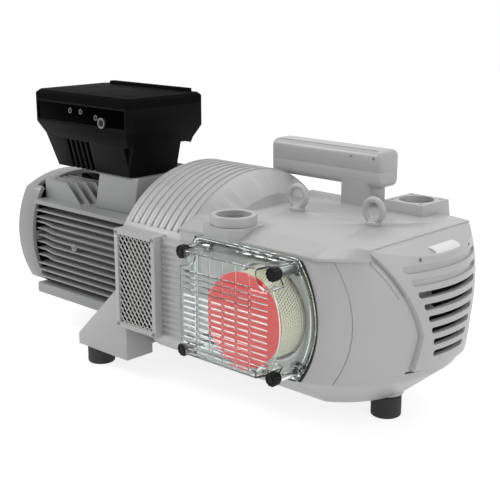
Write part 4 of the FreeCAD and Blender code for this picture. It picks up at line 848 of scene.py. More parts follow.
@dataclass
class Studio:
    """Camera, floor and soft light.

    Attributes:
        azimuth: the camera's angle round the part, in degrees.
        elevation: its angle over the floor.
        place: where it stands, in metres.
        lens: its focal length in millimetres, on a sensor 36 mm wide.
        view_end: how far it sees.
        floor_size: side of the floor.
        floor_shade: the floor's brightness under the lamps.
        floor_glow: share of its own white that the eye sees.
        floor_white: strength of that white.
        world_light: strength of the world as a light.
        lamps: the soft lamps.
        aim: the part's middle, which the lamps face.
    """

    azimuth: float = 43.337
    elevation: float = 14.587
    place: tuple[float, float, float] = (0.9328, -1.3125, 0.6921)
    lens: float = 75.47
    view_end: float = 200.0
    floor_size: float = 60.0
    floor_shade: float = 0.97
    floor_glow: float = 0.6
    floor_white: float = 1.36
    world_light: float = 0.48
    lamps: tuple[Lamp, ...] = (
        Lamp("key_lamp", (-2.1, -1.55, 2.15), 0.9, 24.0),
        Lamp("fill_lamp", (3.0, -0.5, 1.4), 2.2, 25.0),
        Lamp("top_lamp", (-0.4, 0.9, 3.0), 2.6, 29.0),
    )
    aim: tuple[float, float, float] = (-0.35, 0.0, 0.2)

    def build(self) -> None:
        """Sets up the whole studio."""
        self.camera()
        self.world()
        self.floor()
        for lamp in self.lamps:
            lamp.hang(Vector(self.aim))
        bpy.context.scene.view_settings.view_transform = "Standard"

    def camera(self) -> None:
        """The camera, at the photograph's viewing angle."""
        data = bpy.data.cameras.new("camera")
        data.lens = self.lens
        data.sensor_width = 36.0
        data.sensor_fit = "HORIZONTAL"
        data.clip_end = self.view_end
        camera = bpy.data.objects.new("camera", data)
        bpy.context.collection.objects.link(camera)
        turn, rise = math.radians(self.azimuth), math.radians(self.elevation)
        back = Vector((math.sin(turn) * math.cos(rise), -math.cos(turn) * math.cos(rise), math.sin(rise)))
        camera.rotation_mode = "QUATERNION"
        camera.rotation_quaternion = (-back).to_track_quat("-Z", "Y")
        camera.location = self.place
        bpy.context.scene.camera = camera

    @staticmethod
    def seen(tree: bpy.types.NodeTree) -> bpy.types.NodeSocket:
        """Tells what the eye meets straight, in a reflection or through plastic.

        Args:
            tree: a material's or the world's node tree.

        Returns:
            The socket with one for that, and zero for a light's rays.
        """
        path = add(tree, "ShaderNodeLightPath")
        direct = add(tree, "ShaderNodeMath", {
            0: path.outputs["Is Camera Ray"], 1: path.outputs["Is Transmission Ray"],
        }, operation="MAXIMUM")
        seen = add(tree, "ShaderNodeMath", {
            0: direct.outputs[0], 1: path.outputs["Is Glossy Ray"],
        }, operation="MAXIMUM")
        return seen.outputs[0]

    def world(self) -> None:
        """A plain world: white to the eye and in reflections, softer as a light."""
        world = bpy.data.worlds.new("studio_world")
        bpy.context.scene.world = world
        world.use_nodes = True
        tree = world.node_tree
        tree.nodes.clear()
        strength = add(tree, "ShaderNodeMapRange", {
            "Value": self.seen(tree), "To Min": self.world_light, "To Max": 1.0,
        })
        shade = add(tree, "ShaderNodeBackground", {
            "Color": linear("#FFFFFF"), "Strength": strength.outputs["Result"],
        })
        add(tree, "ShaderNodeOutputWorld", {"Surface": shade.outputs["Background"]})

    def floor(self) -> None:
        """A pale plain floor."""
        bpy.ops.object.select_all(action="DESELECT")
        bpy.ops.mesh.primitive_plane_add(size=self.floor_size, location=(0, 0, 0))
        floor = bpy.context.active_object
        floor.name = "studio_floor"
        made = bpy.data.materials.new("studio_floor")
        made.use_nodes = True
        tree = made.node_tree
        tree.nodes.clear()
        paint = add(tree, "ShaderNodeBsdfDiffuse", {"Color": (self.floor_shade,) * 3 + (1.0,)})
        glow = add(tree, "ShaderNodeEmission", {"Strength": self.floor_white})
        share = add(tree, "ShaderNodeMath", {0: self.seen(tree), 1: self.floor_glow}, operation="MULTIPLY")
        both = add(tree, "ShaderNodeMixShader", {
            0: share.outputs[0], 1: paint.outputs["BSDF"], 2: glow.outputs["Emission"],
        })
        add(tree, "ShaderNodeOutputMaterial", {"Surface": both.outputs[0]})
        floor.data.materials.append(made)


# The finish of each of the record's material slots
SLOT_FINISHES: dict[str, Finish] = {
    "casting_grey": CASTING_PAINT,
    "motor_grey": MOTOR_PAINT,
    "mesh_metal": MESH_ZINC,
    "drive_black": DRIVE_GRAIN,
    "drive_gloss": DRIVE_SATIN,
    "knob_black": KNOB_BLACK,
    "clear_plastic": CLEAR,
    "filter_red": CAP_RED,
    "filter_paper": PAPER,
    "filter_steel": JACKET_ZINC,
    "rubber_black": RUBBER,
    "gasket_rubber": SEAL_RUBBER,
    "cast_iron": CAST_IRON,
    "steel": GROUND_STEEL,
    "vane_carbon": GRAPHITE,
    "aluminium": CAST_ALUMINIUM,
    "copper": COPPER,
    "lamination": LAMINATION,
    "spider_plastic": SPIDER,
    "foam": FOAM,
}
# CAD nodes with a finish of their own; the nose fan's is lightened as painted light
NODE_FINISHES: dict[str, Finish] = {"nose_fan": FAN_GREY_PAINTED_LIGHT, "cowl": COWL_PAINT}


@functools.cache
def slots() -> dict[str, str]:
    """The record's material slot of each CAD node."""
    return {part["node"]: part["material_slot"] for part in frame["record"]["subparts"]}


def finish_of(node: str) -> Finish:
    """The finish of a CAD node: its own, or else its slot's."""
    return NODE_FINISHES.get(node, SLOT_FINISHES[slots()[node]])


def dress_nodes() -> None:
    """Gives every CAD node the finish of its slot."""
    for node in slots():
        obj = frame["nodes"][node]
        obj.data.materials.clear()
        obj.data.materials.append(finish_of(node).material())


def surface(nodes: Iterable[str], start: Vector, aim: Vector) -> Vector:
    """The first point of some CAD nodes that a straight line meets.

    Args:
        nodes: the nodes to try.
        start: where the line starts.
        aim: its direction.

    Returns:
        The nearest point that it meets.
    """
    found = []
    for node in nodes:
        hit, point, _, _ = frame["nodes"][node].ray_cast(start, aim)
        if hit:
            found.append(point.copy())
    return min(found, key=lambda point: (point - start).length)


@dataclass(frozen=True)
class Skin:
    """A casting or moulding: the CAD solid with its edges rounded.

    Attributes:
        node: the CAD node.
        width: rounding of its edges in metres.
        segments: faces across each rounding.
    """

    node: str
    width: float
    segments: int = 2

    def build(self) -> Piece:
        """Makes the rounded copy, which stands for the node."""
        piece = Piece.twin(self.node + "_skin", self.node).soften(self.width, self.segments)
        return piece.done(finish_of(self.node), slot=slots()[self.node], replaces=[self.node])


@dataclass(frozen=True)
class Screw:
    """A socket-head screw, seen from its head.

    Attributes:
        radius: radius of the head.
        height: how far the head stands out.
        depth: how far the screw goes in behind its seat.
        edge: rounding of the head, as a share of its height.
        rim: width of the ring round the socket, as a share of the radius.
    """

    radius: float
    height: float
    depth: float = 0.002
    edge: float = 0.35
    rim: float = 0.4

    def heads(self, name: str, places: Iterable[Iterable[float]], outward: Vector) -> Piece:
        """Sets one head at each place.

        Args:
            name: name of the joined piece.
            places: middles of the seats.
            outward: the way that the heads face.

        Returns:
            The piece with all heads.
        """
        length = self.height + self.depth
        head = Piece.rod(name, Axis.Z, (0, 0, -self.depth), self.radius, length, sides=24)
        with head.editing() as edit:
            edit.faces(lambda c, n: n.z > FACING)
            bpy.ops.mesh.bevel(offset=self.height * self.edge, segments=3)
            edit.faces(lambda c, n: n.z > FLAT)
            bpy.ops.mesh.inset(thickness=self.radius * self.rim)
            bpy.ops.mesh.extrude_region_move(TRANSFORM_OT_translate={"value": (0, 0, -self.height)})
        return head.smooth().repeat(places, outward).smooth().done(SCREW_ZINC)


@dataclass
class Unit:
    """A sub-assembly of the part.

    Attributes:
        skins: its castings and mouldings, each with the rounding of its edges.
    """

    skins: tuple[Skin, ...] = ()

    def build(self) -> None:
        """Builds the fitted pieces while the CAD surfaces are there, then the skins and the rest."""
        self.fitted()
        for skin in self.skins:
            skin.build()
        self.rest()

    def fitted(self) -> None:
        """Builds the pieces that are fitted to the CAD surfaces."""

    def rest(self) -> None:
        """Builds the pieces that need only the CAD nodes' boxes."""


@dataclass
class Nose(Unit):
    """Pump casing, pan and louvred end cover with its bare plate.

    Attributes:
        plate_y: the plate's two ends along Y.
        plate_drop: how far its lower edge lies below the casing's top.
        plate_x: place of its upper edge along X.
        plate_t: its thickness.
        plate_out: how far its middle stands out, as a share of the thickness.
        screw: a screw of the cover.
        screw_y: the screws' distance from the middle.
        screw_drop: how far they lie below the casing's top.
        screw_rim: how far beside a screw the cover's surface is felt.
        screw_in: how far the heads' seats lie behind the cover's surface.
    """

    skins: tuple[Skin, ...] = (Skin("pump_casing", 0.003), Skin("pan", 0.004), Skin("end_cover", 0.0012))
    plate_y: tuple[float, float] = (-0.029, 0.035)
    plate_drop: float = 0.0115
    plate_x: float = 0.086
    plate_t: float = 0.0022
    plate_out: float = 1 / 3
    screw: Screw = Screw(0.0034, 0.0014, depth=0.008)
    screw_y: float = 0.0655
    screw_drop: float = 0.002
    screw_rim: float = 0.0065
    screw_in: float = 0.0022

    def fitted(self) -> None:
        """Builds the plate and the cover's screws."""
        self.plate()
        self.screws()

    def plate(self) -> None:
        """The bare plate, laid on the cover's slope."""
        nodes = ["end_cover", "pump_casing", "hood"]
        foot = box("pump_casing")[1].z - self.plate_drop
        start, end = self.plate_y
        slant = Vector((-1, 0, -1)).normalized()

        def lay(p: Vector) -> Vector:
            """Lays the sheet along a smooth bow that touches the nose at three heights.

            Args:
                p: a point of the sheet, which is one metre wide and high.

            Returns:
                Its place on the nose.
            """
            y = start + (end - start) * (p.x + 0.5)
            low = surface(nodes, Vector((AWAY, y, foot)), Vector((-1, 0, 0)))
            high = surface(nodes, Vector((self.plate_x, y, AWAY)), Vector((0, 0, -1)))
            middle = (low + high) / 2
            bend = surface(nodes, middle - slant * AWAY, slant) * 2 - middle
            t = p.z + 0.5
            bow = low * (1 - t) ** 2 + bend * (2 * t * (1 - t)) + high * t ** 2
            return bow - slant * (self.plate_t * self.plate_out)

        plate = Piece.sheet("bare_plate", 24, 12, 1.0, 1.0).shape(lay)
        plate.modify("SOLIDIFY", thickness=self.plate_t, offset=0.0)
        plate.smooth(60.0).done(PLATE_WHITE)

    def screws(self) -> None:
        """The two screws that hold the end cover."""
        aim = Vector((-1, 0, 0))
        z = box("pump_casing")[1].z - self.screw_drop
        places = []
        for side in (-1, 1):
            rim = [
                surface(["end_cover"], Vector((AWAY, side * self.screw_y + step, z)), aim)
                for step in (-self.screw_rim, self.screw_rim)
            ]
            places.append((rim[0] + rim[1]) / 2 + aim * self.screw_in)
        self.screw.heads("cover_screws", places, Vector((1, 0, 0)))


@dataclass
class Ports(Unit):
    """Hood with the screwed port, the square flange and the lifting eyes.

    Attributes:
        bore: radius of the port's bore.
        thread_gap: gap between the thread's roots and the bore.
        thread_depth: height of the thread's ridges.
        thread_pitch: distance between two ridges.
        thread_top: how far below the ring's top the thread starts.
        thread_length: how far it goes down from there.
        eye_bar: radius of the eye's bar.
        eye_major: middle radius of the eye's ring.
        collar_r: radius of the collar under an eye.
        collar_h: height of the collar.
        collar_low: how far below the ring the collar starts.
        neck_in: how far the neck stands in from the collar.
        neck_h: height of the neck.
        neck_top: width of the neck's top, as a share of its foot.
    """

    skins: tuple[Skin, ...] = (
        Skin("hood", 0.003),
        Skin("port_block", 0.003, 3),
        Skin("port_ring", 0.0015, 3),
        Skin("discharge_flange", 0.0018, 3),
    )
    bore: float = 0.0285
    thread_gap: float = 0.0001
    thread_depth: float = 0.0012
    thread_pitch: float = 0.0023
    thread_top: float = 0.0015
    thread_length: float = 0.0255
    eye_bar: float = 0.005
    eye_major: float = 0.0175
    collar_r: float = 0.0125
    collar_h: float = 0.0065
    collar_low: float = 0.0015
    neck_in: float = 0.003
    neck_h: float = 0.004
    neck_top: float = 0.75

    def rest(self) -> None:
        """Builds the thread and the lifting eyes."""
        self.thread()
        self.eyes()

    def thread(self) -> None:
        """The pipe thread in the port, as one helical ridge."""
        low, high = box("port_ring")
        centre = (low + high) / 2
        top = high.z - self.thread_top
        turns = self.thread_length / self.thread_pitch
        sheet = Piece.sheet("port_thread", 96, round(turns * 6), 1.0, 1.0)

        def wrap(p: Vector) -> Vector:
            """Wraps the sheet into the bore, with its ridges.

            Args:
                p: a point of the sheet, which is one metre wide and high.

            Returns:
                Its place in the bore.
            """
            angle = 2 * math.pi * p.x
            share = (turns * (p.z + 0.5) + p.x) % 1.0
            r = self.bore - self.thread_gap - self.thread_depth * (1 - abs(2 * share - 1))
            z = top + (p.z - 0.5) * self.thread_length
            return Vector((centre.x + r * math.cos(angle), centre.y + r * math.sin(angle), z))

        sheet.shape(wrap).outwards().smooth(50.0).done(CASTING_PAINT, slot="casting_grey")

    def eyes(self) -> None:
        """The two lifting eyes, round all over."""
        low, high = box("eye_bolts")
        reach = self.eye_major + self.eye_bar
        z = high.z - reach
        foot = z - reach - self.collar_low
        parts = []
        for x in (low.x + reach, high.x - reach):
            ring = Piece.hoop("lifting_eyes", Axis.Y, (x, 0, z), self.eye_major, self.eye_bar)
            collar = Piece.rod("eye_collar", Axis.Z, (x, 0, foot), self.collar_r, self.collar_h, sides=40)
            with collar.editing() as edit:
                edit.faces(lambda c, n: n.z > FACING)
                bpy.ops.mesh.inset(thickness=self.neck_in)
                bpy.ops.mesh.extrude_region_move(TRANSFORM_OT_translate={"value": (0, 0, self.neck_h)})
                bpy.ops.transform.resize(
                    value=(self.neck_top, self.neck_top, 1.0), center_override=(x, 0, z)
                )
            parts += [ring, collar.soften(0.0012, segments=3)]
        eyes = parts[0].join(parts[1:]).smooth(40.0)
        eyes.done(CASTING_PAINT, slot="casting_grey", replaces=["eye_bolts"])


@dataclass
class Cowl(Unit):
    """The ribbed cowl with its side panels and the two expanded-metal outlets.

    Attributes:
        columns: diamonds across a window.
        rows: diamonds over its height.
        spare: diamonds past the window, which its edges cut away.
        strand: width of a strand.
        lean: how far the strands lean out of the sheet.
        sheet_t: thickness of the sheet.
        rim: width of the outlet box's rim beside the sheet.
        screw: a screw of the rim.
        screw_set: distance of the screws from the box's edges.
    """

    skins: tuple[Skin, ...] = (Skin("cowl", 0.0012), Skin("side_panels", 0.0008))
    columns: int = 8
    rows: int = 11
    spare: int = 4
    strand: float = 0.0019
    lean: float = 0.0016
    sheet_t: float = 0.0009
    rim: float = 0.009
    screw: Screw = Screw(0.0034, 0.0014)
    screw_set: float = 0.0055

    def rest(self) -> None:
        """Builds both outlets."""
        for side, node in ((-1, "outlet_mesh_front"), (1, "outlet_mesh_rear")):
            self.mesh(side, node)
        for side, name in ((-1, "outlet_screws_front"), (1, "outlet_screws_rear")):
            self.screws(side, name)

    def mesh(self, side: int, node: str) -> None:
        """One sheet of expanded metal.

        Args:
            side: -1 for the front, 1 for the rear.
            node: the CAD node that it stands for.
        """
        low, high = box(node)
        wide, tall = (high.x - low.x) / self.columns, (high.z - low.z) / self.rows
        count = self.columns + self.rows + self.spare
        middle = (low + high) / 2
        sheet = Piece.sheet(node + "_diamonds", count, count, float(count), float(count))
        sheet.shape(lambda p: middle + Vector(((p.x - p.z) * wide / 2, 0.0, (p.x + p.z) * tall / 2)))
        with sheet.editing() as edit:
            for level, normal in (
                (low, (1, 0, 0)), (low, (0, 0, 1)), (high, (-1, 0, 0)), (high, (0, 0, -1)),
            ):
                bpy.ops.mesh.select_all(action="SELECT")
                bpy.ops.mesh.bisect(plane_co=level, plane_no=normal, clear_inner=True)
            bpy.ops.mesh.select_all(action="SELECT")
            bpy.ops.mesh.inset(thickness=self.strand / 2, use_individual=True)
            edit.lean_holes(self.lean * side, tall)
            bpy.ops.mesh.delete(type="FACE")
        sheet.modify("SOLIDIFY", thickness=self.sheet_t, offset=0.0)
        sheet.smooth(20.0).done(MESH_ZINC, slot="mesh_metal", replaces=[node])

    def screws(self, side: int, name: str) -> None:
        """Four screws at the corners of an outlet box.

        Args:
            side: -1 for the front, 1 for the rear.
            name: name of the piece.
        """
        low, high = box("outlet_mesh_front")
        inset = self.rim - self.screw_set
        face = box("cowl")[0].y
        places = [
            (x, -side * face, z)
            for x in (low.x - inset, high.x + inset)
            for z in (low.z - inset, high.z + inset)
        ]
        self.screw.heads(name, places, Vector((0, side, 0)))


@dataclass(frozen=True)
class Knob:
    """A black thumb knob with a fluted rim on a steel stud.

    Attributes:
        number: which of the four it is.
        face_in: how far its face lies behind the solid's.
        length: length of the head.
        dish_rim: width of the face's rim, as a share of the radius.
        dish: depth of the dish inside the rim.
        boss_rim: width of the dish's floor, as a share of the radius.
        boss: how far the middle stands out of the dish.
        rim_from: where the fluted rim starts, as a share of the radius.
        flutes: flutes round the rim.
        flute: depth of a flute, as a share of the radius.
        stud_r: radius of the stud.
    """

    number: int
    face_in: float = 0.005
    length: float = 0.012
    dish_rim: float = 0.32
    dish: float = 0.0012
    boss_rim: float = 0.2
    boss: float = 0.0016
    rim_from: float = 0.95
    flutes: int = 10
    flute: float = 0.13
    stud_r: float = 0.004

    def node(self) -> str:
        """The CAD node of this knob."""
        return f"cover_knob_{self.number}"

    def seat(self) -> Vector:
        """The middle of the head's back, which presses on the cover."""
        low, high = box(self.node())
        return Vector(((low.x + high.x) / 2, low.y + self.face_in + self.length, (low.z + high.z) / 2))

    def build(self) -> None:
        """Builds the head and the stud."""
        low, high = box(self.node())
        seat, radius = self.seat(), (high.x - low.x) / 2
        start = (seat.x, seat.y - self.length, seat.z)
        head = Piece.rod(f"{self.node()}_head", Axis.Y, start, radius, self.length, sides=120)
        with head.editing() as edit:
            edit.faces(lambda c, n: n.y < -FACING)
            for inset, step in ((self.dish_rim, self.dish), (self.boss_rim, -self.boss)):
                bpy.ops.mesh.inset(thickness=radius * inset)
                bpy.ops.mesh.extrude_region_move(TRANSFORM_OT_translate={"value": (0, step, 0)})

        def press(p: Vector) -> Vector:
            """Presses the flutes into the rim. The third power keeps the ridges between them wide.

            Args:
                p: a point of the head.

            Returns:
                Its new place.
            """
            spoke = Vector((p.x - seat.x, 0.0, p.z - seat.z))
            if spoke.length < radius * self.rim_from:
                return p
            wave = 0.5 - 0.5 * math.cos(self.flutes * math.atan2(spoke.z, spoke.x))
            return p - spoke * (self.flute * wave ** 3)

        body = f"knob_{self.number}"
        head.shape(press).soften(0.0008, segments=3, angle=40.0)
        head.done(KNOB_BLACK, body=body, slot="knob_black", replaces=[self.node()])
        start = (seat.x, seat.y - SET_IN, seat.z)
        stud = Piece.rod(f"{self.node()}_stud", Axis.Y, start, self.stud_r, high.y - start[1], sides=32)
        stud.soften(0.0006).done(SCREW_ZINC, body=body, slot="steel")


@dataclass(frozen=True)
class ClearCover:
    """The clear filter cover: a deep D-shaped shell with ribs inside and a flange round its back.

    Attributes:
        knobs: the knobs that hold it.
        wall: thickness of the wall.
        bulge: how far the right side swells.
        flange: how far the flange stands out round the back edge.
        flange_t: thickness of the flange.
        front_y: place of the front face.
        front_left: how far the front's left edge stands in from the flange's.
        front_top: the same for its top edge.
        front_low: the same for its lower edge.
        front_right: the same for its right edge.
        corner: rounding of the left corners.
        pocket: radius of the recess round each knob.
        pocket_gap: how far a recess goes in behind its knob's head.
        hole: radius of a stud's hole.
        hole_from: where the hole's tool starts before the knob's seat.
        hole_length: how far the tool goes.
        sleeve: outer radius of the sleeve round a stud.
        sleeve_gap: gap between the wall and the sleeve.
        bore_length: length of the tool that bores a sleeve.
        rows: ribs across the front.
        row_low: height of the lowest one over the front's edge, as a share of the pitch.
        pitch: distance between two of them.
        rib_w: width of a rib across the front.
        row_gap: gap between a rib across and an upright one.
        row_reach: how far off the front's inside a corner still belongs to a rib.
        row_fade: length over which a rib runs out at its end.
        clear_rows: how many of the top ribs are shallow.
        shallow: their height, as a share of the others'.
        row_from: start of the ribs across, from the cover's left edge.
        row_to: their end.
        columns: upright ribs.
        column_first: place of the first one, from the cover's left edge.
        column_pitch: distance between two of them.
        column_w: their width.
        column_h: how far they stand in.
    """

    knobs: tuple[Knob, ...] = tuple(Knob(number) for number in (1, 2, 3, 4))
    wall: float = 0.003
    bulge: float = 0.031
    flange: float = 0.008
    flange_t: float = 0.005
    front_y: float = -0.252
    front_left: float = 0.038
    front_top: float = 0.0055
    front_low: float = 0.018
    front_right: float = 0.012
    corner: float = 0.007
    pocket: float = 0.020
    pocket_gap: float = 0.0004
    hole: float = 0.0054
    hole_from: float = 0.002
    hole_length: float = 0.012
    sleeve: float = 0.0085
    sleeve_gap: float = 0.0006
    bore_length: float = 0.1
    rows: int = 14
    row_low: float = 0.9
    pitch: float = 0.0098
    rib_w: float = 0.005
    row_gap: float = 0.0026
    row_reach: float = 0.0008
    row_fade: float = 0.001
    clear_rows: int = 4
    shallow: float = 0.66
    row_from: float = 0.043
    row_to: float = 0.220
    columns: int = 5
    column_first: float = 0.074
    column_pitch: float = 0.0276
    column_w: float = 0.002
    column_h: float = 0.0008

    def left(self) -> float:
        """The cover's left edge along X."""
        return box("clear_cover")[0].x

    def back(self) -> float:
        """The cover's back edge along Y."""
        return box("clear_cover")[1].y

    def inner(self) -> float:
        """The inside of the front along Y."""
        return self.front_y + self.wall

    def column_places(self) -> list[float]:
        """Where the upright ribs stand along X."""
        return [self.left() + self.column_first + self.column_pitch * i for i in range(self.columns)]

    def row_places(self) -> list[float]:
        """The heights of the ribs across the front, the top one first."""
        bottom = box("clear_cover")[0].z + self.front_low + self.pitch * self.row_low
        return [bottom + self.pitch * i for i in reversed(range(self.rows))]

    def build(self) -> None:
        """Builds the whole cover."""
        form = self.form()
        with form.editing() as edit:
            edit.faces(lambda c, n: c.y > self.back() - WELD)
            bpy.ops.mesh.delete(type="FACE")
        form.modify("SOLIDIFY", thickness=self.wall, offset=-1.0, use_even_offset=True)
        holes = []
        for knob in self.knobs:
            start = knob.seat() - Vector((0, self.hole_from, 0))
            holes.append(Piece.rod("hole", Axis.Y, start, self.hole, self.hole_length, sides=32))
        form.cut(holes[0].join(holes[1:]))
        with form.editing() as edit:
            self.add_columns(edit)
            self.add_rows(edit)
            self.add_flange(edit)
        form.join(self.sleeves()).smooth(14.0)
        form.done(CLEAR, body="filter_cover", slot="clear_plastic", replaces=["clear_cover"])

    def form(self) -> Piece:
        """The cover's outer form as a solid: a D that narrows to the front, with its four pockets.

        Returns:
            The closed solid, before it is hollowed.
        """
        low, high = box("clear_cover")
        x0, x1 = low.x + self.flange, high.x - self.bulge - self.flange
        z0, z1 = low.z + self.flange, high.z - self.flange
        form = Piece.block("clear_cover_shell", (x0, self.front_y, z0), (x1, high.y, z1))
        with form.editing() as edit:
            edit.edges(lambda a, b: min(a.x, b.x) > x1 - WELD and abs(a.z - b.z) > WELD)
            bpy.ops.mesh.subdivide(number_cuts=31)
        left, right = self.front_left - self.flange, self.front_right - self.flange
        top, bottom = self.front_top - self.flange, self.front_low - self.flange

        def narrow(p: Vector) -> Vector:
            """Swells the right side and draws the front in.

            Args:
                p: a point of the block.

            Returns:
                Its new place.
            """
            u, v = (p.x - x0) / (x1 - x0), (p.z - z0) / (z1 - z0)
            depth = (high.y - p.y) / (high.y - self.front_y)
            swell = self.bulge * (1 - (2 * v - 1) ** 2) if u > 0.999 else 0.0
            x = p.x + depth * (left * (1 - u) - right * u) + swell
            return Vector((x, p.y, p.z + depth * (bottom * (1 - v) - top * v)))

        form.shape(narrow)
        with form.editing() as edit:
            edit.edges(lambda a, b: abs(a.y - b.y) > self.wall and max(a.x, b.x) < x0 + left + self.wall)
            bpy.ops.mesh.bevel(offset=self.corner, segments=8)
        form.soften(0.0018, segments=3, angle=25.0)
        for knob in self.knobs:
            seat = knob.seat()
            start = Vector((seat.x, self.front_y - OVERSHOOT, seat.z))
            depth = seat.y - start.y + self.pocket_gap
            form.cut(Piece.rod("pocket", Axis.Y, start, self.pocket, depth, sides=48))
        return form

    def sleeves(self) -> list[Piece]:
        """The sleeves that guide the studs, from the pockets to the back edge.

        Returns:
            One sleeve for each knob.
        """
        made = []
        for knob in self.knobs:
            seat = knob.seat()
            start = Vector((seat.x, seat.y + self.wall + self.sleeve_gap, seat.z))
            length = self.back() - start.y
            sleeve = Piece.rod("sleeve", Axis.Y, start, self.sleeve, length, sides=40)
            start.y -= OVERSHOOT
            bore = Piece.rod("bore", Axis.Y, start, self.hole, self.bore_length, sides=40)
            made.append(sleeve.cut(bore))
        return made

    def at_front(self, centre: Vector, normal: Vector) -> bool:
        """Whether a face lies on the inside of the front."""
        return normal.y > LEVEL and abs(centre.y - self.inner()) < self.wall / 4

    def add_columns(self, edit: Editing) -> None:
        """Raises the upright ribs behind the front and inside the two long flanks.

        Args:
            edit: the cover, open for editing.
        """
        low, high = box("clear_cover")
        middle = (low.z + high.z) / 2

        def in_flank(centre: Vector, normal: Vector) -> bool:
            """Whether a face lies inside the upper or the lower flank."""
            return abs(normal.z) > FACING and (centre.z - middle) * normal.z < 0

        for x in self.column_places():
            for step in (-self.column_w / 2, 0.0, self.column_w / 2):
                edit.slice(self.at_front, Axis.X, x + step)
                edit.slice(in_flank, Axis.X, x + step)
        edit.crest(self.column_places(), self.column_h, self.inner(), middle)

    def add_rows(self, edit: Editing) -> None:
        """Raises the ribs behind the front: prisms that turn the light back, shallow ones on top.

        Args:
            edit: the cover, open for editing.
        """
        half = self.rib_w / 2
        for z in self.row_places():
            for level in (z - half, z, z + half):
                edit.slice(self.at_front, Axis.Z, level)
        start, end = self.left() + self.row_from, self.left() + self.row_to
        ends = [x + step for x in self.column_places() for step in (-self.row_gap, self.row_gap)]
        for x in ends + [start - self.row_fade, start, end, end + self.row_fade]:
            edit.slice(self.at_front, Axis.X, x)
        depths = {
            z: half * (self.shallow if i < self.clear_rows else 1.0) for i, z in enumerate(self.row_places())
        }
        edit.ridge(self.inner(), self.row_reach, depths, self.takes_row)

    def takes_row(self, place: Vector) -> bool:
        """Whether a rib across may stand here: clear of the upright ribs, the pockets and the side walls.

        Args:
            place: a point on the inside of the front.

        Returns:
            True where it may.
        """
        if any(abs(place.x - column) < self.row_gap - WELD for column in self.column_places()):
            return False
        if any((place - knob.seat()).xz.length < self.pocket + 2 * self.wall for knob in self.knobs):
            return False
        return self.row_from - WELD < place.x - self.left() < self.row_to + WELD

    def add_flange(self, edit: Editing) -> None:
        """Turns the back edge out into a flange.

        Args:
            edit: the cover, open for editing.
        """
        line = self.back() - self.flange_t

        def in_wall(centre: Vector, normal: Vector) -> bool:
            """Whether a face lies on the outside of the walls."""
            return abs(normal.y) < FACING and centre.y > self.inner() and edit.outer(centre, normal)

        edit.slice(in_wall, Axis.Y, line)
        edit.faces(lambda c, n: c.y > line and in_wall(c, n))
        bpy.ops.mesh.extrude_region_shrink_fatten(
            TRANSFORM_OT_shrink_fatten={"value": self.flange, "use_even_offset": True}
        )
        edit.keep_between(line, self.back())


@dataclass(frozen=True)
class Jacket:
    """The cartridge's perforated jacket, with slanting rows of small holes.

    Attributes:
        around: holes round the girth.
        along: holes over the length.
        web: half the strip between two holes, as a share of their pitch.
        sheet_t: thickness of the sheet.
    """

    around: int = 90
    along: int = 21
    web: float = 0.21
    sheet_t: float = 0.0006

    def build(self) -> None:
        """Builds the jacket."""
        low, high = box("filter_jacket")
        centre = (low + high) / 2
        radius = (high.x - low.x) / 2 - self.sheet_t
        girth, length = 2 * math.pi * radius, high.y - low.y
        step, row = girth / self.around, length / self.along
        sheet = Piece.sheet("perforated_jacket", self.around, self.along, girth, length)
        with sheet.editing() as edit:
            edit.faces(lambda c, n: True)
            bpy.ops.mesh.inset(thickness=step * self.web, use_individual=True)
            bpy.ops.mesh.delete(type="FACE")

        def wrap(p: Vector) -> Vector:
            """Shears each row by half a step and wraps the sheet.

            Args:
                p: a point of the flat sheet.

            Returns:
                Its place round the cartridge.
            """
            angle = (p.x + 0.5 * step * p.z / row) / radius
            return centre + Vector((radius * math.cos(angle), p.z, radius * math.sin(angle)))

        sheet.shape(wrap).outwards().modify("SOLIDIFY", thickness=self.sheet_t, offset=0.0)
        sheet.smooth(40.0).done(JACKET_ZINC, slot="filter_steel", replaces=["filter_jacket"])


@dataclass
class FilterUnit(Unit):
    """Clear cover with its knobs, and the red-capped cartridge behind it.

    Attributes:
        cover: the clear cover, which knows its knobs.
        jacket: the cartridge's jacket.
    """

    skins: tuple[Skin, ...] = (Skin("filter_end_caps", 0.0012, 3),)
    cover: ClearCover = ClearCover()
    jacket: Jacket = Jacket()

    def fitted(self) -> None:
        """Builds cover, knobs and jacket."""
        self.cover.build()
        for knob in self.cover.knobs:
            knob.build()
        self.jacket.build()


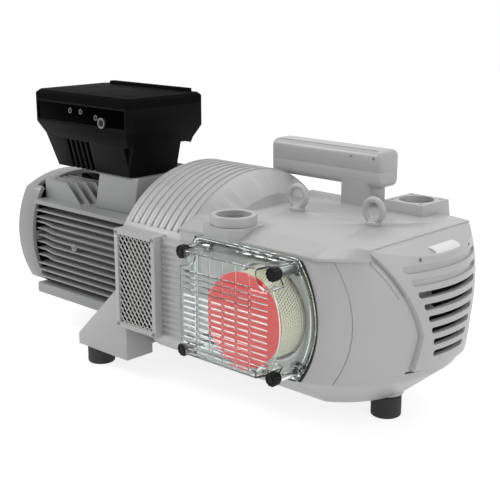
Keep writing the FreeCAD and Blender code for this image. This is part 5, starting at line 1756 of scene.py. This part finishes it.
@dataclass
class MotorUnit(Unit):
    """The finned motor with fan cowl, foot bracket and terminal adapter.

    Attributes:
        cowl_wall: thickness of the fan cowl's end wall, with a small gap.
        shade_disc_r: radius of the dark disc inside the fan cowl's end, which is painted shade.
        shade_disc_bore: radius of its middle hole.
        shade_disc_t: its thickness.
        lug_x: place of the eye-shaped lug between the fins, from the housing's left end.
        lug_z: its height over the housing's lowest fin.
        lug_in: how far its face may lie behind the widest place.
        screw: the lug's earth screw.
    """

    skins: tuple[Skin, ...] = (
        Skin("motor_housing", 0.0006),
        Skin("fan_cowl", 0.002),
        Skin("foot_bracket", 0.003),
        Skin("terminal_adapter", 0.003),
        Skin("rubber_feet", 0.001),
    )
    cowl_wall: float = 0.0028
    shade_disc_r: float = 0.1155
    shade_disc_bore: float = 0.025
    shade_disc_t: float = 0.0012
    lug_x: float = 0.124
    lug_z: float = 0.113
    lug_in: float = 0.004
    screw: Screw = Screw(0.0042, 0.0018, depth=0.004)

    def fitted(self) -> None:
        """Builds the dark disc of painted shade and the earth screw."""
        self.painted_shade()
        self.earth_screw()

    def painted_shade(self) -> None:
        """A dark disc against the inside of the fan cowl's end: painted shade inside the cowl."""
        low, high = box("fan_cowl")
        start = Vector((low.x + self.cowl_wall, (low.y + high.y) / 2, (low.z + high.z) / 2))
        # Painted shade: a dark disc stands for the shade inside the fan cowl
        disc = Piece.rod("fan_cowl_shade_disc", Axis.X, start, self.shade_disc_r, self.shade_disc_t, sides=96)
        start.x = low.x
        bore = Piece.rod("bore", Axis.X, start, self.shade_disc_bore, 2 * OVERSHOOT, sides=48)
        disc.cut(bore).soften(0.0003, segments=1).done(RUBBER, slot="rubber_black")

    def earth_screw(self) -> None:
        """The screw in the lug between the fins."""
        low = box("motor_housing")[0]
        x, z = low.x + self.lug_x, low.z + self.lug_z
        face = surface(["motor_housing"], Vector((x, -AWAY, z)), Vector((0, 1, 0)))
        place = (x, min(face.y, low.y + self.lug_in), z)
        self.screw.heads("earth_screw", [place], Vector((0, -1, 0)))


@dataclass
class DriveUnit(Unit):
    """The black drive with its lid and the connectors on the front.

    Attributes:
        panel_side: how far the front panel stands in from the housing's ends.
        panel_top: how far its upper edge lies below the housing's top.
        panel_low: the same for its lower edge.
        foil_in: how far the panel's foil lies behind the front.
        foil_t: thickness of the foil.
        nut_rim: width of a connector nut's rim, as a share of its radius.
        nut_in: depth of the dish inside the rim.
        plug_r: radius of the dark plug, as a share of the nut's.
        plug_t: thickness of the plug.
    """

    skins: tuple[Skin, ...] = (Skin("drive_housing", 0.0015, 3), Skin("drive_lid", 0.0012, 3))
    panel_side: float = 0.0145
    panel_top: float = 0.0045
    panel_low: float = 0.0375
    foil_in: float = 0.0014
    foil_t: float = 0.001
    nut_rim: float = 0.28
    nut_in: float = 0.0012
    plug_r: float = 0.6
    plug_t: float = 0.0012

    def rest(self) -> None:
        """Builds the connectors and the foil."""
        self.connectors()
        self.foil()

    def foil(self) -> None:
        """The glossy black foil in the front panel's recess, its near-black partly painted shade of the
        recess.
        """
        low, high = box("drive_housing")
        y = low.y + self.foil_in
        start = (low.x + self.panel_side, y, high.z - self.panel_low)
        end = (high.x - self.panel_side, y + self.foil_t, high.z - self.panel_top)
        # Near-black foil: part glossy panel, part painted shade of the recess
        Piece.block("front_foil", start, end).soften(0.0004).done(DRIVE_FOIL_AND_SHADE, slot="drive_gloss")

    def connectors(self) -> None:
        """Round connectors with a bright nut and a dark plug each."""
        nuts, plugs = [], []
        for low, high in islands(frame["nodes"]["drive_connectors"].data):
            radius = (high.x - low.x) / 2
            start = Vector(((low.x + high.x) / 2, low.y, (low.z + high.z) / 2))
            nut = Piece.rod("connector_nuts", Axis.Y, start, radius, high.y - low.y)
            with nut.editing() as edit:
                edit.faces(lambda c, n: n.y < -FACING)
                bpy.ops.mesh.inset(thickness=radius * self.nut_rim)
                bpy.ops.mesh.extrude_region_move(TRANSFORM_OT_translate={"value": (0, self.nut_in, 0)})
            nuts.append(nut.soften(0.0005, segments=3))
            start.y += SET_IN
            plug = Piece.rod("connector_plugs", Axis.Y, start, radius * self.plug_r, self.plug_t, sides=32)
            plugs.append(plug.soften(0.0004))
        nuts[0].join(nuts[1:]).done(CONNECTOR_METAL, slot="knob_black", replaces=["drive_connectors"])
        plugs[0].join(plugs[1:]).done(KNOB_BLACK, slot="knob_black")


@dataclass
class Silencer(Unit):
    """The silencer's body and lid with the screws that close it.

    Attributes:
        screw: a screw of the lid.
        screw_first: distance of the first screw from the right end.
        screw_pitch: distance between two screws.
        screw_count: screws along one side.
        screw_drop: how far they lie below the lid's top.
    """

    skins: tuple[Skin, ...] = (Skin("silencer_body", 0.0008), Skin("silencer_lid", 0.0008))
    screw: Screw = Screw(0.0024, 0.0008)
    screw_first: float = 0.014
    screw_pitch: float = 0.048
    screw_count: int = 2
    screw_drop: float = 0.0125

    def fitted(self) -> None:
        """Builds the screws on both sides."""
        self.screws(-1, "silencer_screws_front")
        self.screws(1, "silencer_screws_rear")

    def screws(self, side: int, name: str) -> None:
        """A row of screws along one side of the lid.

        Args:
            side: -1 for the front, 1 for the rear.
            name: name of the piece.
        """
        end = box("silencer_lid")[1]
        nodes, aim = ["silencer_lid", "silencer_body"], Vector((0, -side, 0))
        places = []
        for i in range(self.screw_count):
            x = end.x - self.screw_first - self.screw_pitch * i
            places.append(surface(nodes, Vector((x, side * AWAY, end.z - self.screw_drop)), aim))
        self.screw.heads(name, places, -aim)


def islands(mesh: bpy.types.Mesh) -> list[tuple[Vector, Vector]]:
    """The boxes of a mesh's loose solids, in order along X.

    Args:
        mesh: a CAD node's mesh.

    Returns:
        The lowest and highest corner of each solid.
    """
    work = bmesh.new()
    work.from_mesh(mesh)
    bmesh.ops.remove_doubles(work, verts=work.verts, dist=WELD)
    left = set(work.verts)
    boxes = []
    while left:
        group, waiting = set(), [next(iter(left))]
        while waiting:
            vertex = waiting.pop()
            if vertex not in group:
                group.add(vertex)
                waiting += [edge.other_vert(vertex) for edge in vertex.link_edges]
        left -= group
        columns = list(zip(*(tuple(v.co) for v in group)))
        boxes.append((Vector([min(c) for c in columns]), Vector([max(c) for c in columns])))
    work.free()
    return sorted(boxes, key=lambda corners: corners[0].x)


def main() -> None:
    """Builds the studio and every sub-assembly."""
    logging.basicConfig(level=logging.INFO, format="%(name)s %(message)s")
    Studio().build()
    dress_nodes()
    for unit in (Nose(), Ports(), Cowl(), FilterUnit(), MotorUnit(), DriveUnit(), Silencer()):
        unit.build()


if __name__ == "__main__":
    main()
